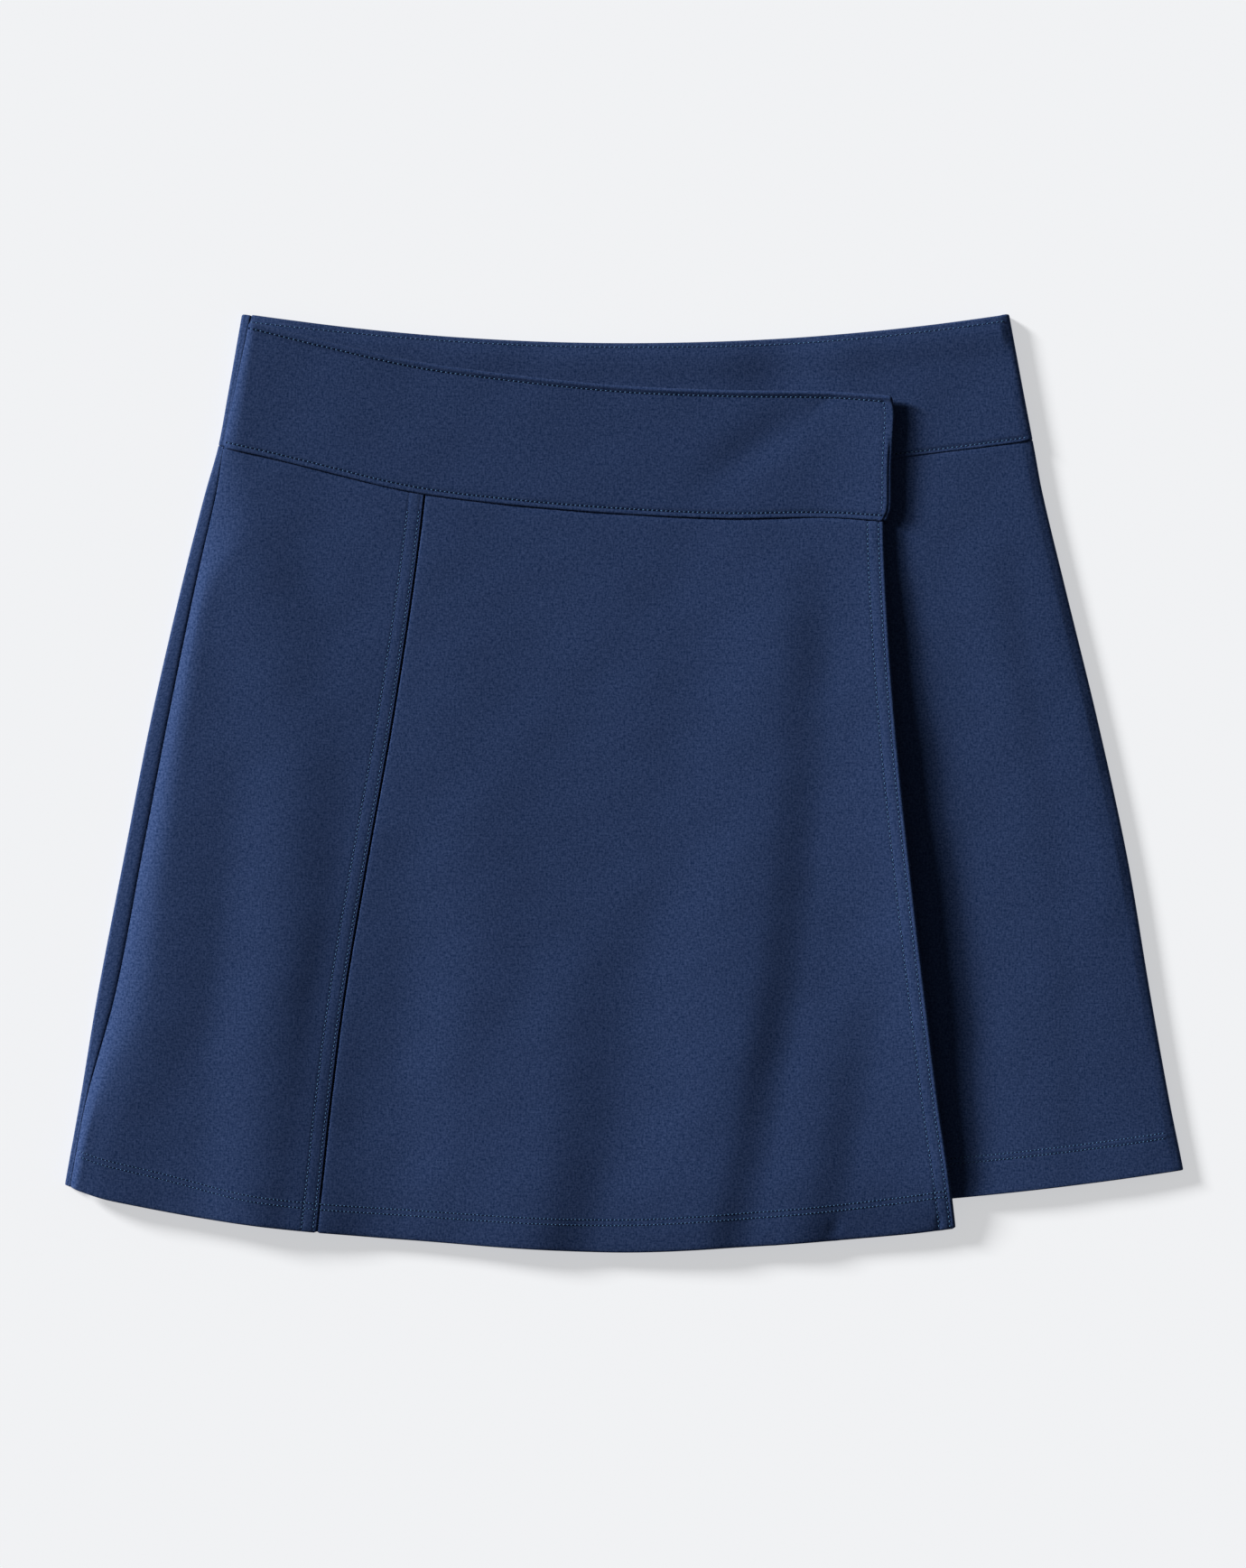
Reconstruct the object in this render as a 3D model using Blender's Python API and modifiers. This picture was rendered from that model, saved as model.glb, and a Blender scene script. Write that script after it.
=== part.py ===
"""Wrap-front skort laid flat and face up on a table: a short A-line skirt with a crossed front
and a wide shaped waistband, in double knit of one colour, over a pair of inner shorts.

Frame: metres, +X to the right as the garment is seen from above, +Y from hem to waist, +Z up.
The origin is on the table, at the centre of the rectangle that the garment covers. The wearer's
right side lies at -X.

Every piece is a sheet of cloth. Its middle surface is laid out from lines that run down the
garment (folds, seams, edges) and lines that run across it (waist, yoke seams, hems), and a
Solidify modifier gives the sheet its thickness. The lengths below are in millimetres.
"""

import math
from collections import namedtuple

import bmesh
import bpy

MM = 0.001

# Cloth
CLOTH = 1.2  # skirt panels, one layer of double knit
BAND = 2.0  # waistband, two layers pressed together
LINER = 1.0  # inner shorts, one layer of plain jersey
SEAM_GAP = 0.3  # between two pieces at a seam
LEFT_RADIUS, RIGHT_RADIUS = 1.2, 2.2  # middle of the cloth, where a piece turns round a side

# Lines that run down the garment: x at each height y, from the waist to the hem
Station = namedtuple("Station", "y left_fold side_seam princess wrap_edge right_fold")
STATIONS = (
    Station(229, -185.8, -181.6, -91.0, 129.0, 187.4),
    Station(188, -193.0, -190.2, -93.0, 129.8, 195.0),
    Station(164, -197.5, -194.9, -95.2, 130.6, 199.6),
    Station(141, -204.0, -198.7, -97.3, 126.8, 203.9),
    Station(96, -215.4, -209.1, -102.9, 127.5, 214.7),
    Station(30, -230.5, -222.6, -113.0, 131.8, 230.8),
    Station(-36, -243.4, -235.2, -124.8, 138.5, 245.1),
    Station(-102, -256.1, -247.9, -136.0, 146.2, 256.2),
    Station(-155, -264.9, -262.4, -142.9, 152.9, 265.7),
    Station(-190, -271.2, -268.8, -146.7, 158.0, 272.7),
    Station(-217, -275.8, -273.3, -149.8, 161.6, 276.9),
)
# The free end of the wrap band, x at each height y
BAND_END = (
    (190, 129.4),
    (181, 131.3),
    (168, 130.8),
    (154, 130.1),
    (137, 130.0),
    (132, 129.4),
    (128, 127.4),
)

# Lines that run across the garment
WAIST_MIDDLE, WAIST_RISE, WAIST_HALF = 214.7, 14.3, 186.0
YOKE_MIDDLE, YOKE_RISE, YOKE_TILT, YOKE_HALF = 151.5, 14.4, 1.7, 199.0
UNDER_HEM_MIDDLE, UNDER_HEM_RISE, UNDER_HEM_HALF = -209.4, 21.0, 272.0
WRAP_TOP = (
    (-180, 225.1),
    (-150, 217.6),
    (-100, 206.4),
    (-50, 199.5),
    (0, 194.6),
    (50, 192.5),
    (100, 191.4),
    (130, 188.3),
)
WRAP_BAND_DEPTH = (
    (-200, 64.8),
    (-160, 64.0),
    (-110, 64.6),
    (-50, 63.9),
    (0, 63.0),
    (50, 63.1),
    (90, 61.9),
    (130, 60.4),
)
WRAP_HEM = (
    (-272, -196.2),
    (-249, -203.6),
    (-183, -215.3),
    (-106, -222.9),
    (-7, -229.0),
    (70, -225.7),
    (136, -220.4),
    (162, -217.4),
)

# Heights of the middle of the cloth over the table
WRAP_CROWN = ((141, 7.5), (118, 8.0), (30, 9.8), (-60, 10.2), (-217, 9.0))
WRAP_START = ((164, 5.4), (110, 3.4), (-217, 3.2))
WRAP_REACH = (
    (164, 12),
    (122, 22),
    (96, 10),
    (40, 11),
    (-40, 14),
    (-110, 17),
    (-140, 12),
    (-170, 6),
    (-217, 4),
)
ROLL = 2.4  # how fast the rise from the side seam rounds over
WRAP_DRIFT = 1.0  # how much higher the wrap lies at its free edge than at the side
EDGE_LIFT = (
    (141, 0.7),
    (118, 1.2),
    (70, 2.4),
    (10, 3.2),
    (-50, 2.9),
    (-110, 2.0),
    (-155, 1.1),
    (-217, 0.8),
)
EDGE_LIFT_WIDTH = 38.0
WRAP_BAND_START, WRAP_BAND_CROWN = 5.9, 8.3
WRAP_BAND_REACH = ((225, 3), (175, 8), (145, 10))
BAND_END_LIFT, BAND_END_WIDTH = 1.0, 40.0
UNDER_CROWN = ((164, 5.4), (96, 5.8), (-36, 6.0), (-110, 6.3), (-209, 6.4))
# Width of the slope at the right fold
UNDER_FALL = ((164, 10), (-50, 16), (-80, 28), (-110, 42), (-209, 46))
UNDER_CLEAR = 1.9  # least drop from the wrap to the panel under it
UNDER_BAND_START, UNDER_BAND_CROWN, UNDER_BAND_REACH = 3.4, 5.6, 12.0
LINER_BACK, LINER_FRONT, LINER_EDGE_WIDTH = 2.0, 3.7, 16.0

# Soft flutes. Each has the line of its crest, as (y, x), its height, as (y, height), and how far
# it falls away to the left and to the right
Flute = namedtuple("Flute", "crest height left right")
WRAP_FLUTES = (
    Flute(
        ((-20, -214), (-110, -229), (-170, -246), (-217, -258)),
        ((10, 0), (-50, 0.7), (-110, 0.9), (-217, 0.7)),
        16,
        32,
    ),
    Flute(
        ((135, -184), (95, -177), (10, -163), (-50, -165), (-110, -171), (-217, -181)),
        ((140, 0), (105, 1.0), (50, 0.7), (-20, 1.6), (-80, 2.2), (-150, 2.4), (-217, 1.8)),
        28,
        31,
    ),
    Flute(
        ((-20, -125), (-110, -141), (-217, -155)),
        ((-20, 0), (-60, 0.6), (-110, 0.9), (-217, 0.8)),
        14,
        34,
    ),
    Flute(
        ((0, -74), (-110, -78), (-217, -80)),
        ((20, 0), (-50, 0.9), (-110, 1.3), (-217, 1.1)),
        34,
        38,
    ),
    Flute(
        ((-60, -22), (-110, -28), (-170, -31), (-217, -37)),
        ((-40, 0), (-80, 0.6), (-140, 1.4), (-217, 1.9)),
        48,
        28,
    ),
    Flute(
        ((110, 74), (70, 76), (10, 72), (-50, 67), (-110, 59), (-170, 49), (-217, 43)),
        ((125, 0), (70, 1.6), (0, 1.5), (-50, 2.2), (-140, 2.9), (-217, 2.1)),
        55,
        27,
    ),
    Flute(
        ((-90, 106), (-140, 99), (-217, 84)),
        ((-75, 0), (-140, 1.2), (-180, 1.7), (-217, 1.7)),
        34,
        24,
    ),
)
UNDER_FLUTES = (
    Flute(
        ((130, 176), (80, 180), (-20, 197), (-217, 212)),
        ((130, 0), (80, 0.6), (20, 0.35), (-217, 0.3)),
        24,
        17,
    ),
)

# Edges that other pieces hide
RIGHT_TURN = 8.0  # the right side seam lies this far in from the fold, against the table
UNDER_START = 4.0  # the under panel's left edge, in from the side seam
BACK_SHORTER = 0.5  # the back's waist and hem, inside those of the front that lies on it
BACK_HEM_MEETS = 120.0  # from the left fold to where the back's hem has left the wrap's hem

# Inner shorts
SHORTS_OUTER = ((166, 182), (60, 190), (-60, 193), (-140, 190))
CROTCH, LEG_HEM = -35.0, -135.0
LEG_GAP = 10.0  # from the middle line to each leg at its hem
LEG_GAP_REACH = 15.0  # the legs have parted to two thirds of that this far below the crotch

# How finely each sheet is laid out
PANEL_ROWS, BAND_ROWS, LINER_ROWS = 18, 4, 12
BAND_COLUMNS, SIDE_COLUMNS, FRONT_COLUMNS = 22, 16, 32
UNDER_COLUMNS, BACK_COLUMNS, LINER_COLUMNS = 20, 12, 8
SIDE_CROWDING = 1.6  # columns lie closer together where the wrap rises from the side seam
TURN_STEPS = 6
SETTLING = 12  # rounds that find where a column that runs aslant meets a row

Finish = namedtuple("Finish", "name colour roughness")
NAVY_KNIT = Finish("navy double knit", (0.020, 0.036, 0.085), 0.85)
NAVY_LINER = Finish("navy jersey", (0.018, 0.030, 0.070), 0.8)


def mix(a, b, share):
    return a + (b - a) * share


def ease(share):
    """0 to 1 with level ends."""
    share = min(max(share, 0.0), 1.0)
    return share * share * (3 - 2 * share)


def through(points):
    """A smooth function through (at, value) points, straight beyond its ends."""
    at, value = zip(*sorted(points))
    last = len(at) - 1

    def slope(k):
        a, b = max(k - 1, 0), min(k + 1, last)
        return (value[b] - value[a]) / (at[b] - at[a])

    def curve(x):
        if x <= at[0]:
            return value[0] + (x - at[0]) * slope(0)
        if x >= at[last]:
            return value[last] + (x - at[last]) * slope(last)
        k = max(i for i in range(last) if at[i] <= x)
        span = at[k + 1] - at[k]
        t = (x - at[k]) / span
        bend = t * (1 - t)
        return (
            mix(value[k], value[k + 1], ease(t))
            + bend * (1 - t) * span * slope(k)
            - bend * t * span * slope(k + 1)
        )

    return curve


def down(column):
    """The line of that name in STATIONS, as x at each y."""
    return through([(station.y, getattr(station, column)) for station in STATIONS])


def smooth(flutes):
    """The same flutes, with smooth functions of y in place of their tables."""
    return [f._replace(crest=through(f.crest), height=through(f.height)) for f in flutes]


left_fold, side_seam, princess = down("left_fold"), down("side_seam"), down("princess")
wrap_edge, right_fold, band_end = down("wrap_edge"), down("right_fold"), through(BAND_END)
wrap_top, wrap_band_depth = through(WRAP_TOP), through(WRAP_BAND_DEPTH)
wrap_hem = through(WRAP_HEM)
wrap_crown, wrap_start = through(WRAP_CROWN), through(WRAP_START)
wrap_reach, edge_lift = through(WRAP_REACH), through(EDGE_LIFT)
wrap_band_reach = through(WRAP_BAND_REACH)
under_crown, under_fall = through(UNDER_CROWN), through(UNDER_FALL)
shorts_outer = through(SHORTS_OUTER)
wrap_flutes, under_flutes = smooth(WRAP_FLUTES), smooth(UNDER_FLUTES)


def waist(x):
    return WAIST_MIDDLE + WAIST_RISE * (x / WAIST_HALF) ** 2


def under_yoke(x):
    out = x / YOKE_HALF
    return YOKE_MIDDLE + YOKE_RISE * out**2 + YOKE_TILT * out


def under_hem(x):
    return UNDER_HEM_MIDDLE + UNDER_HEM_RISE * (x / UNDER_HEM_HALF) ** 2


def wrap_yoke(x):
    return wrap_top(x) - wrap_band_depth(x)


def back_hem(x):
    """Level with the wrap at the left fold, and with the under panel elsewhere."""
    corner = WRAP_HEM[0][0]
    return mix(wrap_hem(x), under_hem(x) + BACK_SHORTER, ease((x - corner) / BACK_HEM_MEETS))


def flute_height(flute, x, y):
    off = x - flute.crest(y)
    width = flute.left if off < 0 else flute.right
    fade = math.cos(math.pi / 2 * min(abs(off) / width, 1)) ** 2
    return max(flute.height(y), 0) * fade


def rounded_rise(inward, reach):
    """0 at an edge to 1 at the reach, steepest at the edge."""
    return 1 - (1 - min(max(inward / reach, 0), 1)) ** ROLL


def edge_curl(past, width):
    """0 at the width from an edge to 1 at the edge, level at the start."""
    return max(past / width + 1, 0) ** 2


def wrap_height(x, y):
    """Middle of the wrap's panels: a steep rise from the side seam, flutes, and a lifted edge."""
    inward = max(x - side_seam(y), 0)
    risen = rounded_rise(inward, wrap_reach(y))
    drift = WRAP_DRIFT * inward / (wrap_edge(y) - side_seam(y))
    lift = edge_lift(y) * edge_curl(x - wrap_edge(y), EDGE_LIFT_WIDTH)
    flutes = sum(flute_height(flute, x, y) for flute in wrap_flutes)
    return mix(wrap_start(y), wrap_crown(y), risen) + drift + lift + flutes * risen**2


def wrap_band_height(x, y):
    risen = rounded_rise(x - side_seam(y), wrap_band_reach(y))
    lift = BAND_END_LIFT * edge_curl(x - band_end(y), BAND_END_WIDTH)
    return mix(WRAP_BAND_START, WRAP_BAND_CROWN, risen) + lift


def folded_top(thickness, radius):
    """Height of a sheet's middle after it has turned once round a side fold."""
    return thickness / 2 + 2 * radius


def under_height(x, y):
    """Middle of the under panel: it slopes to the right fold, and keeps clear of the wrap."""
    inward = (right_fold(y) - x) / under_fall(y)
    rise = 1 - (1 - min(max(inward, 0), 1)) ** 2
    height = mix(folded_top(CLOTH, RIGHT_RADIUS), under_crown(y), rise)
    height += sum(flute_height(flute, x, y) for flute in under_flutes) * ease(inward)
    return min(height, wrap_height(x, y) - UNDER_CLEAR) if x < wrap_edge(y) else height


def under_band_height(x, y):
    from_left, from_right = x - side_seam(y), right_fold(y) - x
    left_drop = (UNDER_BAND_CROWN - UNDER_BAND_START) * math.exp(-from_left / UNDER_BAND_REACH)
    right_drop = UNDER_BAND_CROWN - folded_top(BAND, RIGHT_RADIUS)
    return UNDER_BAND_CROWN - left_drop - right_drop * math.exp(-from_right / UNDER_BAND_REACH)


def shares(count, crowding=1.0):
    """count + 1 places from 0 to 1, closer together at the start where crowding is over 1."""
    return [(k / count) ** crowding for k in range(count + 1)]


def shares_close_at_ends(count):
    return [mix(k / count, ease(k / count), 0.7) for k in range(count + 1)]


def flat_run(left, right, height, places):
    """Columns of a piece with no turned side: each gives (x, z) at a height y."""

    def column(share):
        def at(y):
            x = mix(left(y), right(y), share)
            return x, height(x, y)

        return at

    return [column(share) for share in places]


def turn(fold, side, thickness, radius, flap_end, start_on_top):
    """Columns round a side fold and along the turned flap. side is -1 at the left, 1 at the right."""
    columns = []
    for k in range(TURN_STEPS + 1):
        angle = math.pi * k / TURN_STEPS
        if start_on_top:
            angle = math.pi - angle

        def at(y, angle=angle):
            centre = fold(y) - side * (thickness / 2 + radius)
            x = centre + side * radius * math.sin(angle)
            return x, thickness / 2 + radius * (1 - math.cos(angle))

        columns.append(at)
    flap_z = thickness / 2 if start_on_top else folded_top(thickness, radius)
    columns.append(lambda y: (flap_end(y), flap_z))
    return columns


def lay_out(columns, top, bottom, rows):
    """Points of a sheet, row by row from the hem up, in millimetres."""
    grid = []
    for j in range(rows + 1):
        up = j / rows
        row = []
        for at in columns:
            x, y = 0.0, mix(bottom(0), top(0), up)
            for _ in range(SETTLING):
                x, z = at(y)
                y = mix(bottom(x) + SEAM_GAP / 2, top(x) - SEAM_GAP / 2, up)
            row.append((x, y, z))
        grid.append(row)
    return grid


def material(finish):
    found = bpy.data.materials.get(finish.name)
    if found:
        return found
    made = bpy.data.materials.new(finish.name)
    made.use_nodes = True
    shader = made.node_tree.nodes["Principled BSDF"]
    shader.inputs["Base Color"].default_value = (*finish.colour, 1.0)
    shader.inputs["Roughness"].default_value = finish.roughness
    shader.inputs["Metallic"].default_value = 0.0
    return made


def sheet(name, grid, thickness, finish, collection):
    """One piece of cloth: a grid bent to its points, then given its thickness."""
    rows, columns = len(grid) - 1, len(grid[0]) - 1
    shape = bmesh.new()
    bmesh.ops.create_grid(shape, x_segments=columns, y_segments=rows, size=1)
    for vertex in shape.verts:
        i = round((vertex.co.x + 1) / 2 * columns)
        j = round((vertex.co.y + 1) / 2 * rows)
        vertex.co = [length * MM for length in grid[j][i]]
    mesh = bpy.data.meshes.new(name)
    shape.to_mesh(mesh)
    shape.free()
    piece = bpy.data.objects.new(name, mesh)
    collection.objects.link(piece)
    mesh.materials.append(material(finish))
    solidify = piece.modifiers.new("cloth thickness", "SOLIDIFY")
    solidify.thickness = thickness * MM
    solidify.offset = 0
    mesh.shade_smooth()
    return piece


def wrap_pieces(collection):
    """The crossed front: its band, the side panel, and the front panel with the free edge."""
    gap = SEAM_GAP / 2
    start = lambda y: side_seam(y) + SEAM_GAP
    end, begin = lambda y: princess(y) - gap, lambda y: princess(y) + gap
    band = flat_run(side_seam, band_end, wrap_band_height, shares(BAND_COLUMNS, SIDE_CROWDING))
    side = flat_run(start, end, wrap_height, shares(SIDE_COLUMNS, SIDE_CROWDING))
    front = flat_run(begin, wrap_edge, wrap_height, shares(FRONT_COLUMNS))
    band_grid = lay_out(band, wrap_top, wrap_yoke, BAND_ROWS)
    side_grid = lay_out(side, wrap_yoke, wrap_hem, PANEL_ROWS)
    front_grid = lay_out(front, wrap_yoke, wrap_hem, PANEL_ROWS)
    sheet("wrap_band", band_grid, BAND, NAVY_KNIT, collection)
    sheet("wrap_side_panel", side_grid, CLOTH, NAVY_KNIT, collection)
    sheet("wrap_front_panel", front_grid, CLOTH, NAVY_KNIT, collection)


def under_pieces(collection):
    """The front that the wrap covers. Its right side turns round the fold on to the table."""

    def columns(start, height, thickness):
        end = lambda y: right_fold(y) - thickness / 2 - RIGHT_RADIUS
        top = flat_run(start, end, height, shares_close_at_ends(UNDER_COLUMNS))
        flap_end = lambda y: right_fold(y) - RIGHT_TURN
        folded = turn(right_fold, 1, thickness, RIGHT_RADIUS, flap_end, start_on_top=True)
        return top[:-1] + folded

    band = columns(lambda y: side_seam(y) + SEAM_GAP, under_band_height, BAND)
    panel = columns(lambda y: side_seam(y) + UNDER_START, under_height, CLOTH)
    band_grid = lay_out(band, waist, under_yoke, BAND_ROWS)
    panel_grid = lay_out(panel, under_yoke, under_hem, PANEL_ROWS)
    sheet("under_band", band_grid, BAND, NAVY_KNIT, collection)
    sheet("under_panel", panel_grid, CLOTH, NAVY_KNIT, collection)


def back_pieces(collection):
    """The back, flat on the table. Its left side turns round the fold up to the side seam."""

    def columns(thickness):
        start = lambda y: right_fold(y) - RIGHT_TURN - SEAM_GAP
        end = lambda y: left_fold(y) + thickness / 2 + LEFT_RADIUS
        flat = flat_run(start, end, lambda x, y: thickness / 2, shares(BACK_COLUMNS))
        folded = turn(left_fold, -1, thickness, LEFT_RADIUS, side_seam, start_on_top=False)
        return flat[:-1] + folded

    band_grid = lay_out(columns(BAND), lambda x: waist(x) - BACK_SHORTER, under_yoke, BAND_ROWS)
    panel_grid = lay_out(columns(CLOTH), under_yoke, back_hem, PANEL_ROWS)
    sheet("back_band", band_grid, BAND, NAVY_KNIT, collection)
    sheet("back_panel", panel_grid, CLOTH, NAVY_KNIT, collection)


def shorts_pieces(collection):
    """The inner shorts: a front and a back for each leg, sewn into the yoke seam."""

    def inner(y):
        below = max(CROTCH - y, 0.0)
        parted = LEG_GAP * (1 - math.exp(-below / LEG_GAP_REACH))
        return SEAM_GAP / 2 + parted

    def front_height(x, y):
        """The front comes down on to the back along the side seam and the inseam."""
        from_side = (shorts_outer(y) - abs(x)) / LINER_EDGE_WIDTH
        from_inseam = (abs(x) - inner(y) + max(y - CROTCH, 0.0)) / LINER_EDGE_WIDTH
        low = LINER_BACK + LINER + SEAM_GAP
        return mix(low, LINER_FRONT, ease(from_side) * ease(from_inseam))

    for side, word in ((-1, "right"), (1, "left")):
        inside = lambda y: side * inner(y)
        outside = lambda y: side * shorts_outer(y)
        for layer, height in (("front", front_height), ("back", lambda x, y: LINER_BACK)):
            columns = flat_run(inside, outside, height, shares(LINER_COLUMNS))
            grid = lay_out(columns, under_yoke, lambda x: LEG_HEM, LINER_ROWS)
            sheet(f"shorts_{layer}_{word}", grid, LINER, NAVY_LINER, collection)


def main():
    for old in list(bpy.data.objects):
        bpy.data.objects.remove(old)
    skort = bpy.data.collections.new("skort")
    bpy.context.scene.collection.children.link(skort)
    back_pieces(skort)
    shorts_pieces(skort)
    under_pieces(skort)
    wrap_pieces(skort)


main()
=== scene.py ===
"""Dresses a wrap-front skort that lies flat and face up: knit cloth, seams, hems and stitches.

It is laid out as an add-on and runs as a script. Each sheet of cloth is a closed shell on the
place of its solid, with the same folds and finer relief. The tables and the functions of
position are in millimetres, with x to the right as the front is seen, y from hem to waist and
z up from the table; MM turns them into the frame's metres.
"""

import math
from collections import namedtuple

import bpy
import numpy as np
from bpy.props import FloatProperty, FloatVectorProperty, PointerProperty
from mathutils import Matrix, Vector


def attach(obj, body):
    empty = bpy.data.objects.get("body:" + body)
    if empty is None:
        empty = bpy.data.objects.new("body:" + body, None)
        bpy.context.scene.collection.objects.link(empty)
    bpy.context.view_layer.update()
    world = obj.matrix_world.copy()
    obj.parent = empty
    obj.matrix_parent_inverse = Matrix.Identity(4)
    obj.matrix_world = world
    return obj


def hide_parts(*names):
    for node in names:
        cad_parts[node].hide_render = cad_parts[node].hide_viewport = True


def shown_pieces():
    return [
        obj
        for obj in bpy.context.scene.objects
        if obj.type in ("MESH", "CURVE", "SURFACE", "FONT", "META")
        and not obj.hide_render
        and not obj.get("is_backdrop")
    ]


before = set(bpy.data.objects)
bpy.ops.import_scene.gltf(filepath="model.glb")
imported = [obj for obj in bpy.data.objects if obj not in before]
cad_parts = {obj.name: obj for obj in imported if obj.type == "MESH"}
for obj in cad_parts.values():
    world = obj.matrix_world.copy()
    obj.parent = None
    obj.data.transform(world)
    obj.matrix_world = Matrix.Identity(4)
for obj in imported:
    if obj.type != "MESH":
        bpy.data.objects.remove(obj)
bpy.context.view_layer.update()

bl_info = {
    "name": "Wrap-front skort",
    "version": (1, 0, 0),
    "blender": (4, 5, 0),
    "location": "3D View > Sidebar > Skort",
    "description": "Makes a knit skort with a crossed front, laid flat",
    "category": "Object",
}

MM = 0.001


def linear(code):
    """An sRGB hex colour as linear red, green and blue."""
    parts = [int(code[k : k + 2], 16) / 255 for k in (1, 3, 5)]
    return tuple(p / 12.92 if p <= 0.04045 else ((p + 0.055) / 1.055) ** 2.4 for p in parts)


# ---------------------------------------------------------------- the lines of the garment

# Lines that run down the garment: x at each height y, from the waist to the hem
Station = namedtuple("Station", "y left_fold side_seam princess wrap_edge right_fold")
STATIONS = (
    Station(229, -185.8, -181.6, -90.8, 128.8, 187.4),
    Station(188, -193.0, -190.2, -92.2, 129.7, 195.0),
    Station(164, -197.5, -194.9, -94.4, 130.4, 199.6),
    Station(141, -204.0, -198.7, -96.5, 126.6, 203.9),
    Station(96, -215.4, -209.1, -102.1, 127.3, 214.7),
    Station(30, -230.5, -222.6, -112.2, 131.7, 230.8),
    Station(-36, -243.4, -235.2, -124.0, 138.3, 245.1),
    Station(-102, -256.1, -247.9, -135.2, 146.0, 256.2),
    Station(-155, -264.9, -262.4, -142.1, 152.7, 265.7),
    Station(-190, -271.2, -268.8, -145.9, 157.8, 272.7),
    Station(-217, -275.8, -273.3, -149.0, 161.4, 276.9),
)
BAND_END = (
    (190, 129.4),
    (181, 131.3),
    (168, 130.8),
    (154, 130.1),
    (137, 130.0),
    (132, 129.4),
    (128, 127.4),
)

# Lines that run across the garment
WAIST_MIDDLE, WAIST_RISE, WAIST_TILT, WAIST_HALF = 214.6, 14.3, -0.4, 186.0
YOKE_MIDDLE, YOKE_RISE, YOKE_TILT, YOKE_HALF = 151.4, 14.4, 1.2, 199.0
UNDER_HEM_MIDDLE, UNDER_HEM_RISE, UNDER_HEM_HALF = -209.4, 21.0, 272.0
WRAP_TOP = (
    (-180, 224.5),
    (-150, 217.0),
    (-100, 205.8),
    (-50, 198.9),
    (0, 194.0),
    (50, 191.9),
    (100, 191.2),
    (130, 189.0),
)
WRAP_BAND_DEPTH = (
    (-200, 64.8),
    (-160, 64.0),
    (-110, 64.6),
    (-50, 63.9),
    (0, 63.0),
    (50, 63.1),
    (90, 62.2),
    (130, 61.7),
)
WRAP_HEM = (
    (-272, -195.2),
    (-249, -202.6),
    (-183, -214.3),
    (-106, -221.9),
    (-7, -228.0),
    (70, -224.7),
    (136, -219.4),
    (162, -216.4),
)

# Heights of the middle of the cloth over the table
WRAP_CROWN = ((141, 7.5), (118, 8.0), (30, 9.8), (-60, 10.2), (-217, 9.0))
WRAP_START = ((164, 5.4), (110, 4.0), (-217, 3.8))
WRAP_REACH = (
    (164, 12),
    (122, 22),
    (96, 10),
    (40, 11),
    (-40, 14),
    (-110, 17),
    (-140, 12),
    (-170, 6),
    (-217, 4),
)
ROLL = 2.4  # how fast the rise from the side seam rounds over
WRAP_DRIFT = 0.4  # how much higher the wrap lies at its free edge than at the side
EDGE_LIFT = (
    (141, 1.3),
    (118, 1.6),
    (70, 2.5),
    (10, 3.4),
    (-50, 4.2),
    (-110, 4.0),
    (-155, 2.9),
    (-190, 2.1),
    (-217, -0.4),
)
EDGE_LIFT_WIDTH = 50.0
# The wrap's hem droops where little lies under it: how far, from how far in, and from which x
HEM_DROOP, DROOP_DEPTH, DROOP_START, DROOP_SPREAD = 3.0, 36.0, -190.0, 120.0
WRAP_BAND_START, WRAP_BAND_CROWN = 5.9, 8.3
WRAP_BAND_REACH = ((225, 3), (175, 8), (145, 10))
BAND_END_LIFT, BAND_END_WIDTH = 1.7, 40.0
UNDER_CROWN = ((164, 5.4), (96, 5.8), (-36, 6.0), (-110, 6.3), (-209, 6.4))
UNDER_FALL = ((164, 10), (-50, 16), (-80, 28), (-110, 42), (-209, 46))  # slope at the right fold
UNDER_CLEAR = 1.9  # least drop from the wrap to the panel under it
UNDER_FREED = 0.08  # slope at which the panel may rise past the wrap's free edge
UNDER_BAND_START, UNDER_BAND_CROWN, UNDER_BAND_REACH = 3.4, 5.6, 12.0
LINER_BACK, LINER_FRONT, LINER_EDGE_WIDTH = 2.0, 3.7, 16.0

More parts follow.
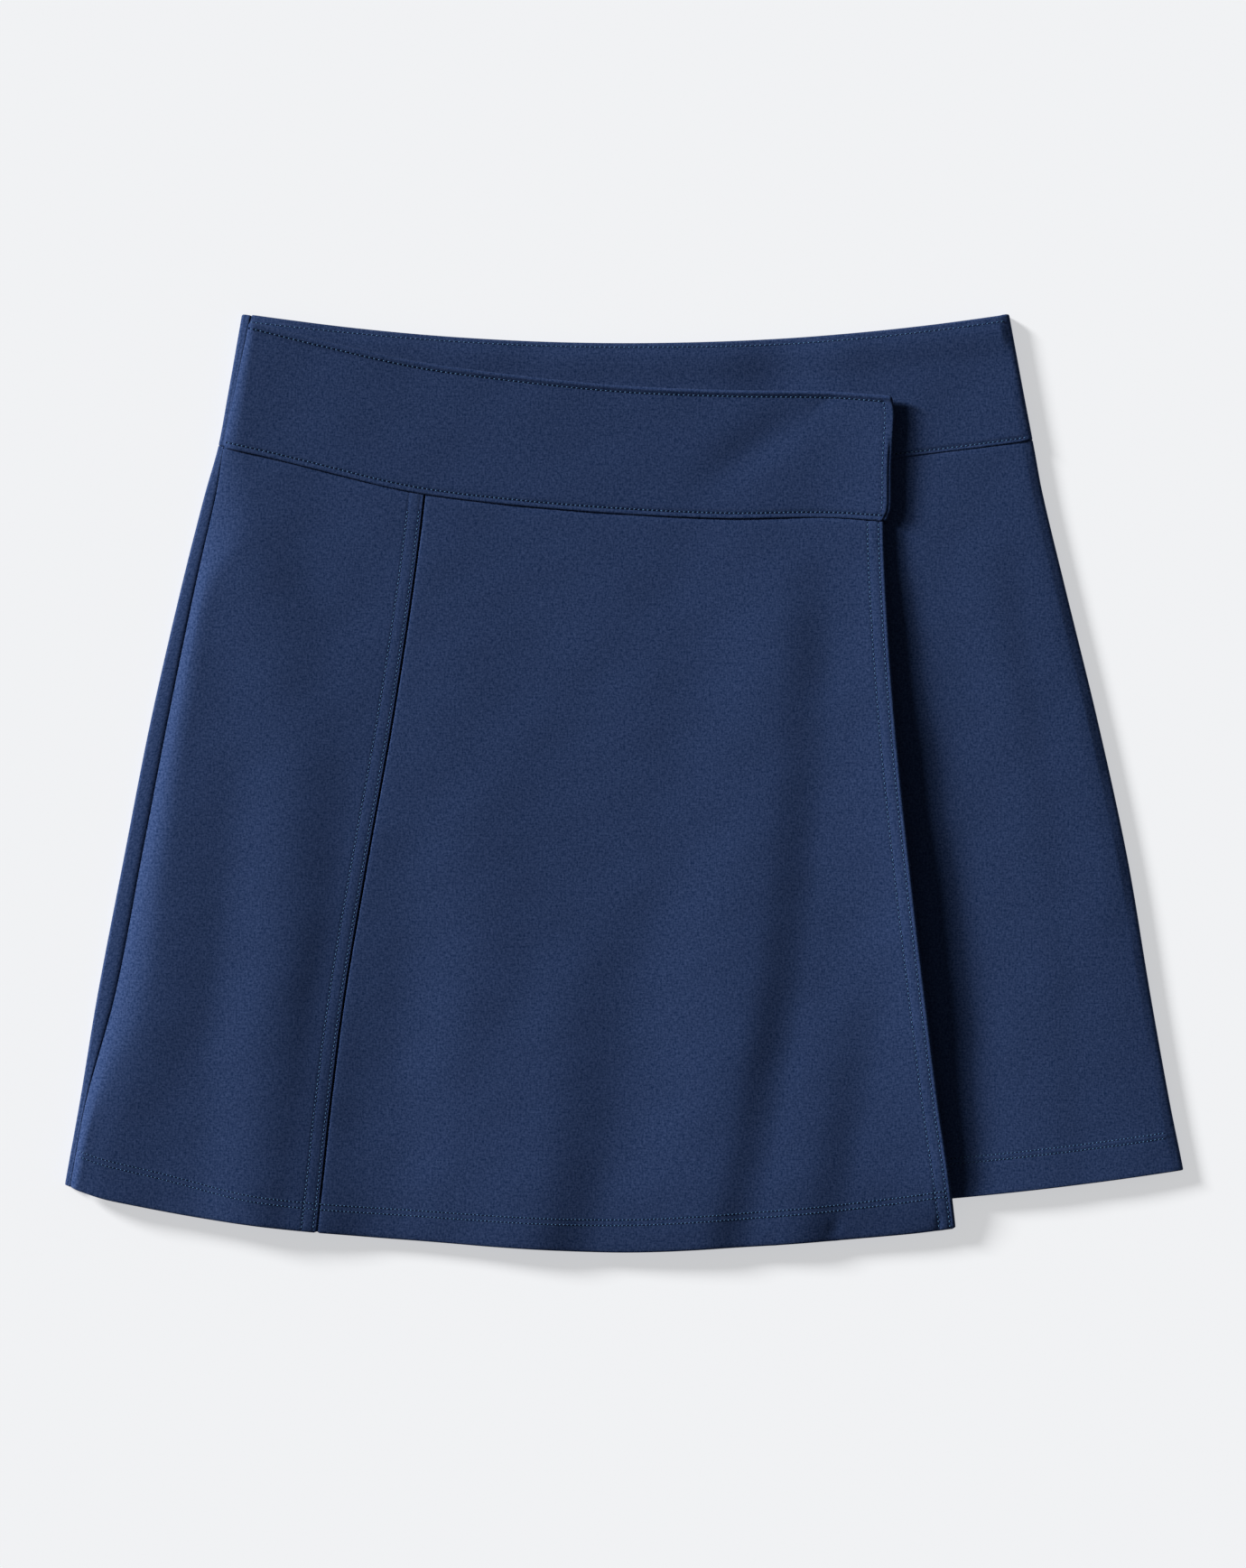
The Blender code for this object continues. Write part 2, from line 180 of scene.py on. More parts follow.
# Soft flutes. Each has the line of its crest, as (y, x), its height, as (y, height), and how far
# it falls away to the left and to the right
Flute = namedtuple("Flute", "crest height left right")
WRAP_FLUTES = (
    Flute(
        ((-20, -214), (-110, -229), (-170, -246), (-217, -258)),
        ((10, 0), (-50, 0.7), (-110, 0.9), (-217, 0.7)),
        16,
        32,
    ),
    Flute(
        ((135, -184), (95, -177), (10, -163), (-50, -165), (-110, -171), (-217, -181)),
        ((140, 0), (105, 1.0), (50, 0.7), (-20, 1.5), (-80, 2.1), (-150, 2.2), (-217, 1.8)),
        32,
        31,
    ),
    Flute(
        ((-20, -125), (-110, -141), (-217, -155)),
        ((-20, 0), (-60, 0.3), (-110, 0.5), (-217, 0.5)),
        14,
        34,
    ),
    Flute(
        ((0, -74), (-110, -78), (-217, -80)),
        ((20, 0), (-50, 0.9), (-110, 1.3), (-217, 1.1)),
        34,
        38,
    ),
    Flute(
        ((-60, -22), (-110, -28), (-170, -37), (-217, -45)),
        ((-40, 0), (-80, 0.6), (-140, 1.4), (-217, 2.2)),
        44,
        34,
    ),
    Flute(
        ((110, 74), (70, 76), (10, 72), (-50, 67), (-110, 59), (-170, 49), (-217, 38)),
        ((125, 0), (70, 1.6), (0, 1.5), (-50, 2.2), (-140, 2.6), (-217, 2.0)),
        55,
        27,
    ),
    Flute(
        ((-90, 106), (-140, 99), (-217, 84)),
        ((-75, 0), (-140, 1.2), (-180, 1.7), (-217, 1.7)),
        34,
        24,
    ),
)
# Hollows, given in the same way by their depths: beside the topstitched seam, and below in the
# under panel beside the wrap's edge
WRAP_HOLLOW = Flute(
    ((-20, -118), (-110, -124), (-217, -122)),
    ((-20, 0), (-70, 0.9), (-140, 1.7), (-217, 1.5)),
    40,
    88,
)
UNDER_FLUTES = (
    Flute(
        ((130, 176), (80, 180), (-20, 197), (-217, 212)),
        ((130, 0), (80, 0.6), (20, 0.35), (-217, 0.3)),
        24,
        17,
    ),
)

UNDER_HOLLOW = Flute(
    ((-50, 156), (-100, 162), (-150, 168), (-190, 172)),
    ((-20, 0), (-60, 0.7), (-150, 0.6), (-209, 0.2)),
    14,
    26,
)

# Shallow dents in the bands and small ones in the hem: ovals turned by an angle in degrees
Dent = namedtuple("Dent", "x y angle along across depth")
WRAP_BAND_DENTS = (
    Dent(64, 163, 34, 36, 10, 0.95),
    Dent(-120, 178, -20, 50, 16, 0.25),
    Dent(-40, 160, 12, 45, 14, 0.20),
    Dent(97, 185, 32, 7, 2.5, 0.30),
)
HEM_DIMPLES = (
    Dent(102, -216, 70, 6, 2.2, 0.45),
    Dent(153, -214, 80, 4, 1.8, 0.35),
    Dent(73, -221, 60, 3, 2.0, 0.15),
)
UNDER_BAND_DENTS = (
    Dent(76, 206, 84, 40, 20, 1.30),
    Dent(-48, 208, 80, 26, 16, 0.30),
    Dent(123, 214, 76, 26, 12, 0.25),
    Dent(160, 190, 70, 40, 14, 0.15),
)

# Long faint unevenness all over: length of each ripple, its direction in degrees and its height
Ripple = namedtuple("Ripple", "length direction height start")
RIPPLES = (
    Ripple(83, 12, 0.13, 0.4),
    Ripple(57, 74, 0.08, 1.9),
    Ripple(41, -31, 0.07, 3.3),
    Ripple(29, 48, 0.04, 5.1),
    Ripple(23, -68, 0.03, 0.9),
)

# Seams, hems and edges, as distances in from the edge: first the rows of stitches. Those given
# as (x, distance) wander
WRAP_TOP_ROW, WRAP_FOOT_ROW, BAND_END_ROW = 3.6, 2.8, 4.6
UNDER_TOP_ROW, UNDER_FOOT_ROW = ((-190, 4.1), (-115, 2.7), (10, 2.3), (85, 3.1), (190, 3.3)), 2.0
SEAM_ROWS, EDGE_ROWS = (2.0, 7.7), (2.65, 8.0)
WRAP_HEM_ROW = ((-272, 17.0), (-225, 15.7), (-178, 11.8), (-100, 12.4), (0, 13.7), (100, 15.0), (162, 17.1))
UNDER_HEM_ROW = ((-272, 17.4), (272, 17.4))
HEM_ROWS_APART = 2.7  # the second row of each hem above the first
# The roll along the top of a band: its height, how far in it is highest, and where it ends
Roll = namedtuple("Roll", "rise crest foot")
WRAP_TOP_ROLL, UNDER_TOP_ROLL = Roll(0.85, 1.7, 3.9), Roll(0.16, 1.6, 8.0)
WRAP_ROLL_SPREAD = ((-190, 2.6), (-130, 1.6), (-80, 0.2), (0, 0), (130, 0))  # added to its foot
UNDER_TOP_SWELL = Roll(0.75, 8.0, 22.0)
# The groove that a row pulls in above the foot of a band: its middle, half-width and depth
Groove = namedtuple("Groove", "middle half depth")
WRAP_FOOT_GROOVE, UNDER_FOOT_GROOVE = Groove(2.5, 1.3, 0.36), Groove(2.0, 1.0, 0.34)
# At its end the band's facing shows past its outer ply: by how much, how far down, and up to
# which height y, with a fade over the last stretch
END_PLY, END_PLY_DROP, END_PLY_TOP, PLY_FADE = 2.0, 0.5, 170, 8
# The layer under a topstitched seam or edge: how far it reaches, and how much it lifts the cloth
SEAM_ALLOWANCE, EDGE_ALLOWANCE = 6.5, 6.8
ALLOWANCE_RISE, ALLOWANCE_DIP, DIP_OUT, DIP_HALF = 0.10, 0.17, 0.15, 0.9
HEM_EXTRA = 1.4  # the hem's turned layer reaches this far past its upper row
HEM_RISE, HEM_RIDGE, HEM_RIDGE_HALF = 0.06, 0.18, 1.0
RAW_EDGE = 3.0  # how softly the edge of a layer beneath shows through
PINCH, PINCH_HALF = 0.12, 0.6  # depth and half-width of the groove that a row pulls in
SEAM_LIP, LIP_REACH, SEAM_ROLL, ROLL_REACH, SEAM_SINK = 0.20, 0.8, 0.27, 0.5, 0.27
WRAP_SINK, UNDER_SINK, SINK_REACH = 0.45, 0.25, 1.2
PUCKER, PUCKER_LENGTH, PUCKER_REACH = 0.045, 7.0, 4.0  # height, length and reach to each side

# Edges that other pieces hide, and the inner shorts
SEAM_GAP = 0.3
SEAM_OPEN = 0.45  # how far the side panel stays back from the topstitched seam's line
SEAM_LAP = 0.4  # the panels' upper edges reach this far into the seam with the band
RIGHT_TURN = 8.0
UNDER_START = 4.0
BACK_SHORTER = 0.5
BACK_HEM_MEETS = 120.0
BACK_OFF_TABLE = 0.18  # room for the stitches under the back
SHORTS_OUTER = ((166, 182), (60, 190), (-60, 193), (-140, 190))
CROTCH, LEG_HEM = -35.0, -135.0
LEG_GAP, LEG_GAP_REACH = 10.0, 15.0

# How finely the sheets are laid out
ROW_HALF = 0.7  # the grid's lines on either side of a row of stitches
FINE_STEP, EDGE_STEP = 0.45, 1.6
TURN_STEPS, FLAP_STEPS = 12, 8
FOLD_POWER = {-1: 1.0, 1: 0.5}  # of the sine, at the left and right folds: 1 is round, less is square
FLAP_RISE, FLAP_TUCK = 0.6, 0.8  # the flap past the left fold: its rise, and how far it tucks under
RIM_STEPS = 6
SETTLING = 10


def mix(a, b, share):
    return a + (b - a) * share


def ease(share):
    """0 to 1 with level ends."""
    share = np.clip(share, 0.0, 1.0)
    return share * share * (3 - 2 * share)


def through(points):
    """A smooth function through (at, value) points, straight beyond its ends."""
    at, value = np.array(sorted(points), float).T
    gap = np.diff(at)
    slope = np.gradient(value)
    slope[1:-1] = (value[2:] - value[:-2]) / (at[2:] - at[:-2])
    slope[0] = (value[1] - value[0]) / gap[0]
    slope[-1] = (value[-1] - value[-2]) / gap[-1]

    def curve(x):
        x = np.asarray(x, float)
        k = np.clip(np.searchsorted(at, x) - 1, 0, len(gap) - 1)
        t = (x - at[k]) / gap[k]
        inside = np.clip(t, 0, 1)
        bend = inside * (1 - inside) * gap[k]
        before, after = np.minimum(t, 0) * gap[k], np.maximum(t - 1, 0) * gap[k]
        return (
            mix(value[k], value[k + 1], ease(inside))
            + bend * (1 - inside) * slope[k]
            - bend * inside * slope[k + 1]
            + before * slope[0]
            + after * slope[-1]
        )

    return curve


def down(column):
    """The line of that name in STATIONS, as x at each y."""
    return through([(station.y, getattr(station, column)) for station in STATIONS])


left_fold, side_seam, princess = down("left_fold"), down("side_seam"), down("princess")
wrap_edge, right_fold, band_end = down("wrap_edge"), down("right_fold"), through(BAND_END)
wrap_top, wrap_band_depth = through(WRAP_TOP), through(WRAP_BAND_DEPTH)
wrap_hem = through(WRAP_HEM)
wrap_crown, wrap_start = through(WRAP_CROWN), through(WRAP_START)
wrap_reach, edge_lift = through(WRAP_REACH), through(EDGE_LIFT)
wrap_band_reach = through(WRAP_BAND_REACH)
under_top_row, wrap_roll_spread = through(UNDER_TOP_ROW), through(WRAP_ROLL_SPREAD)
wrap_hem_row, under_hem_row = through(WRAP_HEM_ROW), through(UNDER_HEM_ROW)
under_crown, under_fall = through(UNDER_CROWN), through(UNDER_FALL)
shorts_outer = through(SHORTS_OUTER)


def waist(x):
    out = x / WAIST_HALF
    return WAIST_MIDDLE + WAIST_RISE * out**2 + WAIST_TILT * out


def yoke(x):
    out = x / YOKE_HALF
    return YOKE_MIDDLE + YOKE_RISE * out**2 + YOKE_TILT * out


def under_hem(x):
    return UNDER_HEM_MIDDLE + UNDER_HEM_RISE * (x / UNDER_HEM_HALF) ** 2


def wrap_yoke(x):
    return wrap_top(x) - wrap_band_depth(x)


def back_hem(x):
    """Level with the wrap at the left fold, and with the under panel elsewhere."""
    corner = WRAP_HEM[0][0]
    return mix(wrap_hem(x), under_hem(x) + BACK_SHORTER, ease((x - corner) / BACK_HEM_MEETS))


def back_waist(x):
    return waist(x) - BACK_SHORTER


# ---------------------------------------------------------------- heights of the cloth


def flute_height(flute, x, y):
    crest, height = through(flute.crest)(y), np.maximum(through(flute.height)(y), 0)
    width = np.where(x < crest, flute.left, flute.right)
    off = np.minimum(np.abs(x - crest) / width, 1)
    return height * np.cos(math.pi / 2 * off) ** 2


def rounded_rise(inward, reach):
    """0 at an edge to 1 at the reach, steepest at the edge."""
    return 1 - (1 - np.clip(inward / reach, 0, 1)) ** ROLL


def dents(table, x, y):
    depth = 0
    for dent in table:
        turn = math.radians(dent.angle)
        along = (x - dent.x) * math.cos(turn) + (y - dent.y) * math.sin(turn)
        across = (y - dent.y) * math.cos(turn) - (x - dent.x) * math.sin(turn)
        depth += dent.depth * np.exp(-((along / dent.along) ** 2) - (across / dent.across) ** 2)
    return depth


def ripples(x, y):
    height = 0
    for ripple in RIPPLES:
        turn = math.radians(ripple.direction)
        run = (x * math.cos(turn) + y * math.sin(turn)) / ripple.length
        sway = 0.6 * np.sin(2 * math.pi * (x - y) / 137 + ripple.start)
        height += ripple.height * np.sin(2 * math.pi * run + ripple.start + sway)
    return height


def wrap_height(x, y):
    """Middle of the wrap's panels: a steep rise from the side seam, flutes, and a lifted edge."""
    inward = np.maximum(x - side_seam(y), 0)
    risen = rounded_rise(inward, wrap_reach(y))
    drift = WRAP_DRIFT * inward / (wrap_edge(y) - side_seam(y))
    lift = edge_lift(y) * np.maximum((x - wrap_edge(y)) / EDGE_LIFT_WIDTH + 1, 0) ** 2
    flutes = sum(flute_height(flute, x, y) for flute in WRAP_FLUTES)
    flutes -= flute_height(WRAP_HOLLOW, x, y)
    droop = np.maximum(1 - (y - wrap_hem(x)) / DROOP_DEPTH, 0) ** 2 * HEM_DROOP
    lift -= droop * ease((x - DROOP_START) / DROOP_SPREAD)
    return mix(wrap_start(y), wrap_crown(y), risen) + drift + lift + flutes * risen**2


def wrap_band_height(x, y):
    risen = rounded_rise(x - side_seam(y), wrap_band_reach(y))
    lift = BAND_END_LIFT * np.maximum((x - band_end(y)) / BAND_END_WIDTH + 1, 0) ** 2
    return mix(WRAP_BAND_START, WRAP_BAND_CROWN, risen) + lift


def folded_top(thickness, radius):
    """Height of a sheet's middle after it has turned once round a side fold."""
    return thickness / 2 + 2 * radius


def under_height(x, y, thickness, radius):
    """Middle of the under panel: it slopes to the right fold, and keeps clear of the wrap."""
    inward = (right_fold(y) - x) / under_fall(y)
    rise = 1 - (1 - np.clip(inward, 0, 1)) ** 2
    height = mix(folded_top(thickness, radius), under_crown(y), rise)
    flutes = sum(flute_height(flute, x, y) for flute in UNDER_FLUTES)
    height += (flutes - flute_height(UNDER_HOLLOW, x, y)) * ease(inward)
    past_edge = np.maximum(x - wrap_edge(y), 0)
    room = wrap_height(x - past_edge, y) - UNDER_CLEAR + UNDER_FREED * past_edge
    return np.minimum(height, room)


def under_band_height(x, y, thickness, radius):
    from_left, from_right = x - side_seam(y), right_fold(y) - x
    left_drop = (UNDER_BAND_CROWN - UNDER_BAND_START) * np.exp(-from_left / UNDER_BAND_REACH)
    right_drop = UNDER_BAND_CROWN - folded_top(thickness, radius)
    return UNDER_BAND_CROWN - left_drop - right_drop * np.exp(-from_right / UNDER_BAND_REACH)


def doubled(inward, depth):
    """1 where a turned or pressed-under layer lies beneath, 0 past its raw edge."""
    return 1 - ease((inward - depth) / RAW_EDGE + 0.5)


def ridge(inward, at, half):
    """1 along a line that far in from an edge, fading over the half-width to each side."""
    return np.exp(-(((inward - at) / half) ** 2))


def pinched(inward, row):
    return -PINCH * ridge(inward, row, PINCH_HALF)


def puckers(inward, along, middle):
    """Small uneven gathers on both sides of the middle of some rows of stitches."""
    near = ridge(inward, middle, PUCKER_REACH)
    turns = 2 * math.pi * along / PUCKER_LENGTH
    wave = np.sin(turns) + np.sin(0.61 * turns + 1.3) + 0.7 * np.sin(1.47 * turns + 0.4)
    strength = 0.6 + 0.4 * np.sin(turns / 9)
    return PUCKER * near * wave * strength


def topstitched(inward, along, rows, allowance):
    """Two rows beside an edge: the layer beneath is a step, with a dip outside the outer row."""
    step = ALLOWANCE_RISE * doubled(inward, allowance)
    dip = -ALLOWANCE_DIP * ridge(inward, rows[0] - DIP_OUT, DIP_HALF)
    return step + dip + pinched(inward, rows[1]) + puckers(inward, along, sum(rows) / 2)


def hemmed(inward, along, row):
    """The turned layer of a hem, whose first row of stitches is that far in."""
    middle = row + HEM_ROWS_APART / 2
    step = HEM_RISE * doubled(inward, row + HEM_ROWS_APART + HEM_EXTRA)
    return step + puckers(inward, along, middle)


def rolled(inward, roll):
    """The roll along the top of a band: it rises from the edge and falls again to its foot."""
    fall = (inward - roll.crest) / (roll.foot - roll.crest)
    return roll.rise * ease(inward / roll.crest) * (1 - ease(fall))


def grooved(inward, groove):
    return -groove.depth * ridge(inward, groove.middle, groove.half)


def sunk(from_yoke, depth):
    return -depth * np.exp(-np.maximum(from_yoke, 0) / SINK_REACH)


def wrap_panel_relief(x, y):
    """What the seams and hems add to the wrap's panels, on their outer side."""
    to_princess = princess(y) - x
    beside_seam = topstitched(to_princess, y, SEAM_ROWS, SEAM_ALLOWANCE)
    inward = np.maximum(to_princess, 0)
    lip = SEAM_LIP * np.exp(-inward / LIP_REACH) - SEAM_ROLL * np.exp(-inward / ROLL_REACH)
    past_seam = -SEAM_SINK * np.exp(np.minimum(to_princess, 0) / SINK_REACH)
    seam = np.where(to_princess >= 0, beside_seam + lip, past_seam)
    hem = hemmed(y - wrap_hem(x), x, wrap_hem_row(x))
    edge = topstitched(wrap_edge(y) - x, y, EDGE_ROWS, EDGE_ALLOWANCE)
    dimples = dents(HEM_DIMPLES, x, y)
    sink = sunk(wrap_yoke(x) - y, WRAP_SINK)
    return hem + edge + seam + sink - dimples + ripples(x, y)


def under_panel_relief(x, y):
    from_hem, row = y - under_hem(x), under_hem_row(x)
    between = HEM_RIDGE * ridge(from_hem, row + HEM_ROWS_APART / 2, HEM_RIDGE_HALF)
    rows = pinched(from_hem, row) + pinched(from_hem, row + HEM_ROWS_APART)
    hem = hemmed(from_hem, x, row) + between + rows
    return hem + sunk(yoke(x) - y, UNDER_SINK) + 0.8 * ripples(x + 300, y)


def wrap_band_relief(x, y):
    from_end = band_end(y) - x
    roll = WRAP_TOP_ROLL._replace(foot=WRAP_TOP_ROLL.foot + wrap_roll_spread(x))
    edges = rolled(wrap_top(x) - y, roll) + grooved(y - wrap_yoke(x), WRAP_FOOT_GROOVE)
    low = ease((END_PLY_TOP - y) / PLY_FADE)
    end = pinched(from_end, BAND_END_ROW) - END_PLY_DROP * low * ease(END_PLY + 0.5 - from_end)
    return edges + end - dents(WRAP_BAND_DENTS, x, y) + 0.7 * ripples(x, y + 90)


def under_band_relief(x, y):
    top = rolled(waist(x) - y, UNDER_TOP_ROLL) + rolled(waist(x) - y, UNDER_TOP_SWELL)
    edges = top + grooved(y - yoke(x), UNDER_FOOT_GROOVE)
    return edges - dents(UNDER_BAND_DENTS, x, y) + 0.7 * ripples(x + 50, y - 70)


def wrap_surface(x, y, cloth):
    """The outer side of the wrap's panels, as the next three give it for the other pieces."""
    return wrap_height(x, y) + cloth / 2 + wrap_panel_relief(x, y)


def wrap_band_surface(x, y, band):
    return wrap_band_height(x, y) + band / 2 + wrap_band_relief(x, y)


def under_surface(x, y, cloth, radius):
    return under_height(x, y, cloth, radius) + cloth / 2 + under_panel_relief(x, y)


def under_band_surface(x, y, band, radius):
    return under_band_height(x, y, band, radius) + band / 2 + under_band_relief(x, y)


# ---------------------------------------------------------------- sizes and colours to change


def length(name, description, millimetres):
    return FloatProperty(
        name=name, description=description, default=millimetres * MM, min=0.0, unit="LENGTH"
    )


def colour(name, description, code):
    return FloatVectorProperty(
        name=name, description=description, default=linear(code), subtype="COLOR", min=0, max=1
    )


class SkortSizes(bpy.types.PropertyGroup):
    """Sizes of the cloth and of its sewing."""

    cloth: length("Cloth", "Thickness of one layer of double knit", 1.2)
    band: length("Band", "Thickness of the waistband, two layers pressed together", 2.0)
    liner: length("Liner", "Thickness of the jersey of the inner shorts", 1.0)
    left_radius: length("Left fold", "Radius of the middle of the cloth at the left fold", 1.2)
    right_radius: length("Right fold", "Radius of the middle of the cloth at the right fold", 2.2)
    grid_step: length("Grid step", "Spacing of the points of the sheets that show", 2.8)
    hidden_step: length("Hidden step", "Spacing of the points of the hidden sheets", 5.5)
    top_stitch: length("Top stitch", "Stitch length along the bands' upper edges", 2.35)
    foot_stitch: length("Foot stitch", "Stitch length along the bands' lower edges", 2.2)
    edge_stitch: length("Edge stitch", "Stitch length along the free edge", 2.33)
    seam_stitch: length("Seam stitch", "Stitch length along the wrap's topstitched seam", 2.05)
    hem_stitch: length("Hem stitch", "Stitch length along the hems", 1.9)
    thread: length("Thread", "Width of the sewing thread", 0.42)
    # The needle holes are drawn as flat discs of painted shade laid over the cloth; these are their widths
    hole: length("Needle hole", "Width of the shaded dimple between two stitches of a band", 1.2)
    small_hole: length("Small needle hole", "The same along the seam, the free edge and ends", 0.8)
    fine_hole: length("Fine needle hole", "The same along the hems", 0.56)


class SkortColours(bpy.types.PropertyGroup):
    """Colours of the cloth, the thread and the table."""

    knit: colour("Knit", "Colour of the double knit", "#243353")
    grain: FloatProperty(name="Grain", description="Contrast of the speckle", default=0.28, min=0, max=1)
    liner: colour("Liner", "Colour of the inner shorts", "#222F4A")
    thread: colour("Thread", "Colour of the sewing thread", "#3D607F")
    # Painted shade: the near-black colour of the discs laid on the needle holes
    hole: colour("Needle hole", "Colour of the shade in a needle hole", "#0E1628")
    table: colour("Table", "Colour of the table", "#F1F2F4")


# ---------------------------------------------------------------- materials


def add_node(tree, kind, settings=None, inputs=None):
    """Adds a node; inputs are values or the output sockets to link from."""
    node = tree.nodes.new(kind)
    for key, value in (settings or {}).items():
        setattr(node, key, value)
    for key, value in (inputs or {}).items():
        if isinstance(value, bpy.types.NodeSocket):
            tree.links.new(value, node.inputs[key])
        else:
            node.inputs[key].default_value = value
    return node


def new_material(name):
    made = bpy.data.materials.new(name)
    made.use_nodes = True
    tree = made.node_tree
    return made, tree, tree.nodes["Principled BSDF"]


def streaks(tree, uv, along, across, seed):
    """Noise drawn out into threads: along and across are the length and width in millimetres."""
    stretch = add_node(
        tree,
        "ShaderNodeMapping",
        inputs={"Vector": uv, "Location": (seed, seed, 0), "Scale": (1 / across, 1 / along, 1)},
    )
    noise = add_node(
        tree,
        "ShaderNodeTexNoise",
        {"noise_dimensions": "2D"},
        {"Vector": stretch.outputs[0], "Scale": 1.0, "Detail": 2.0, "Roughness": 0.6},
    )
    return noise.outputs["Fac"]


# Painted glint: neutral light added to the speckle's lightest fibres and taken from its darkest, in place
# of the fibres' own highlights
PAINTED_GLINT = 0.0075  # what the lightest fibres add to each colour, and the darkest take away


def double_knit(name, main, grain, rib):
    """Viscose, nylon and elastane double knit: close, matt and smooth.

    The eye sees a fine speckle of loops with faint ribs down the cloth and rows across it, and
    a weak bloom at grazing angles. The real ribs are 0.7 mm apart; rib, their spacing here in
    millimetres, is as coarse as it needs to be to show. grain is the contrast of the speckle.
    """
    made, tree, shader = new_material(name)
    uv = add_node(tree, "ShaderNodeUVMap", {"uv_map": "cloth"}).outputs[0]
    tone = streaks(tree, uv, rib, rib * 0.9, 7.3)
    weights = ((rib * 2.6, rib * 0.6, 3.1, 0.55), (rib * 0.55, rib * 2.6, 11.7, 0.55))
    for along, across, seed, weight in weights:
        layer = streaks(tree, uv, along, across, seed)
        total = {0: layer, 1: weight, 2: tone}
        tone = add_node(tree, "ShaderNodeMath", {"operation": "MULTIPLY_ADD"}, total).outputs[0]
    share = add_node(
        tree,
        "ShaderNodeMapRange",
        inputs={"Value": tone, "From Min": 0.75, "From Max": 1.35, "To Min": 0.0, "To Max": 1.0},
    )
    # Both ends of the speckle carry the painted glint of neutral light: added on the light end, taken away
    # on the dark end
    dark, light = [
        tuple(part * (1 + side * grain) + side * PAINTED_GLINT for part in main) for side in (-1, 1)
    ]
    blend = add_node(
        tree,
        "ShaderNodeMix",
        {"data_type": "RGBA"},
        {"Factor": share.outputs[0], 6: (*dark, 1), 7: (*light, 1)},
    )
    tree.links.new(blend.outputs[2], shader.inputs["Base Color"])
    bump = add_node(
        tree,
        "ShaderNodeBump",
        inputs={"Height": tone, "Strength": 0.2, "Distance": 0.12 * MM},
    )
    tree.links.new(bump.outputs[0], shader.inputs["Normal"])
    shader.inputs["Roughness"].default_value = 0.92
    shader.inputs["IOR"].default_value = 1.46
    shader.inputs["Specular IOR Level"].default_value = 0.06
    shader.inputs["Sheen Weight"].default_value = 0.02
    shader.inputs["Sheen Roughness"].default_value = 0.45
    shader.inputs["Sheen Tint"].default_value = (0.55, 0.68, 1.0, 1)
    return made


def sewing_thread(name, main):
    """Spun polyester thread: two plies twisted together, a little shinier than the cloth."""
    made, tree, shader = new_material(name)
    uv = add_node(tree, "ShaderNodeUVMap", {"uv_map": "cloth"}).outputs[0]
    turned = add_node(
        tree, "ShaderNodeMapping", inputs={"Vector": uv, "Rotation": (0, 0, math.radians(35))}
    )
    plies = add_node(
        tree, "ShaderNodeTexWave", inputs={"Vector": turned.outputs[0], "Scale": 0.6, "Distortion": 0.5}
    )
    # Painted shade and light: the colour follows the plies' bump, darker in the grooves between the plies
    # and lighter on their crests
    blend = add_node(
        tree,
        "ShaderNodeMix",
        {"data_type": "RGBA"},
        {
            "Factor": plies.outputs["Fac"],
            6: (*(0.7 * part for part in main), 1),
            7: (*(1.2 * part for part in main), 1),
        },
    )
    tree.links.new(blend.outputs[2], shader.inputs["Base Color"])
    bump = add_node(
        tree,
        "ShaderNodeBump",
        inputs={"Height": plies.outputs["Fac"], "Strength": 0.4, "Distance": 0.06 * MM},
    )
    tree.links.new(bump.outputs[0], shader.inputs["Normal"])
    shader.inputs["Roughness"].default_value = 0.6
    shader.inputs["Specular IOR Level"].default_value = 0.2
    return made


def painted_hole_shade(name, main):
    """Painted shade of a needle hole, on a disc laid over the cloth: nearly black, with no gloss."""
    made, _, shader = new_material(name)
    shader.inputs["Base Color"].default_value = (*main, 1)
    shader.inputs["Roughness"].default_value = 1.0
    shader.inputs["Specular IOR Level"].default_value = 0.0
    return made


def material_once(name, make, *facts):
    """A material that several pieces share."""
    return bpy.data.materials.get(name) or make(*facts)


def knit(colours):
    name = "navy double knit"
    return material_once(name, double_knit, name, tuple(colours.knit), colours.grain, 1.1)


def jersey(colours):
    name = "navy jersey"
    return material_once(name, double_knit, name, tuple(colours.liner), colours.grain, 0.9)


# ---------------------------------------------------------------- sheets of cloth


def inward(start, reach, rows=(), fine=0):
    """Distances in from an edge, from start to reach.

    They lie close together as far as fine, and there are three lines on each row of stitches.
    """
    close = np.arange(start + FINE_STEP, fine, FINE_STEP)
    marks = [row + side for row in rows if row > fine for side in (-ROW_HALF, 0, ROW_HALF)]
    plain = np.arange(max(start, fine) + EDGE_STEP, reach, EDGE_STEP)
    clear = [d for d in plain if all(abs(d - mark) > EDGE_STEP / 2 for mark in marks)]
    return np.array(sorted([start, reach, *close, *marks, *clear]))


def places(near, far, span, step):
    """(share, offset) of each grid line, from the near distances in to the far ones."""
    count = max(int(math.ceil((span - near[-1] - far[-1]) / step)), 2)
    share = np.arange(1, count) / count
    middle = np.stack([share, mix(near[-1], -far[-1], share)], 1)
    first = np.stack([np.zeros(len(near)), near], 1)
    last = np.stack([np.ones(len(far)), -far[::-1]], 1)
    return np.concatenate([first, middle, last])


def flat_columns(near, far, lines):
    """Columns that lie on the garment: each gives x, no height of its own, and the cloth's u."""

    def column(share, offset):
        def at(y):
            x = mix(near(y), far(y), share) + offset
            return x, np.full_like(x, np.nan), x

        return at

    return [column(share, offset) for share, offset in lines]


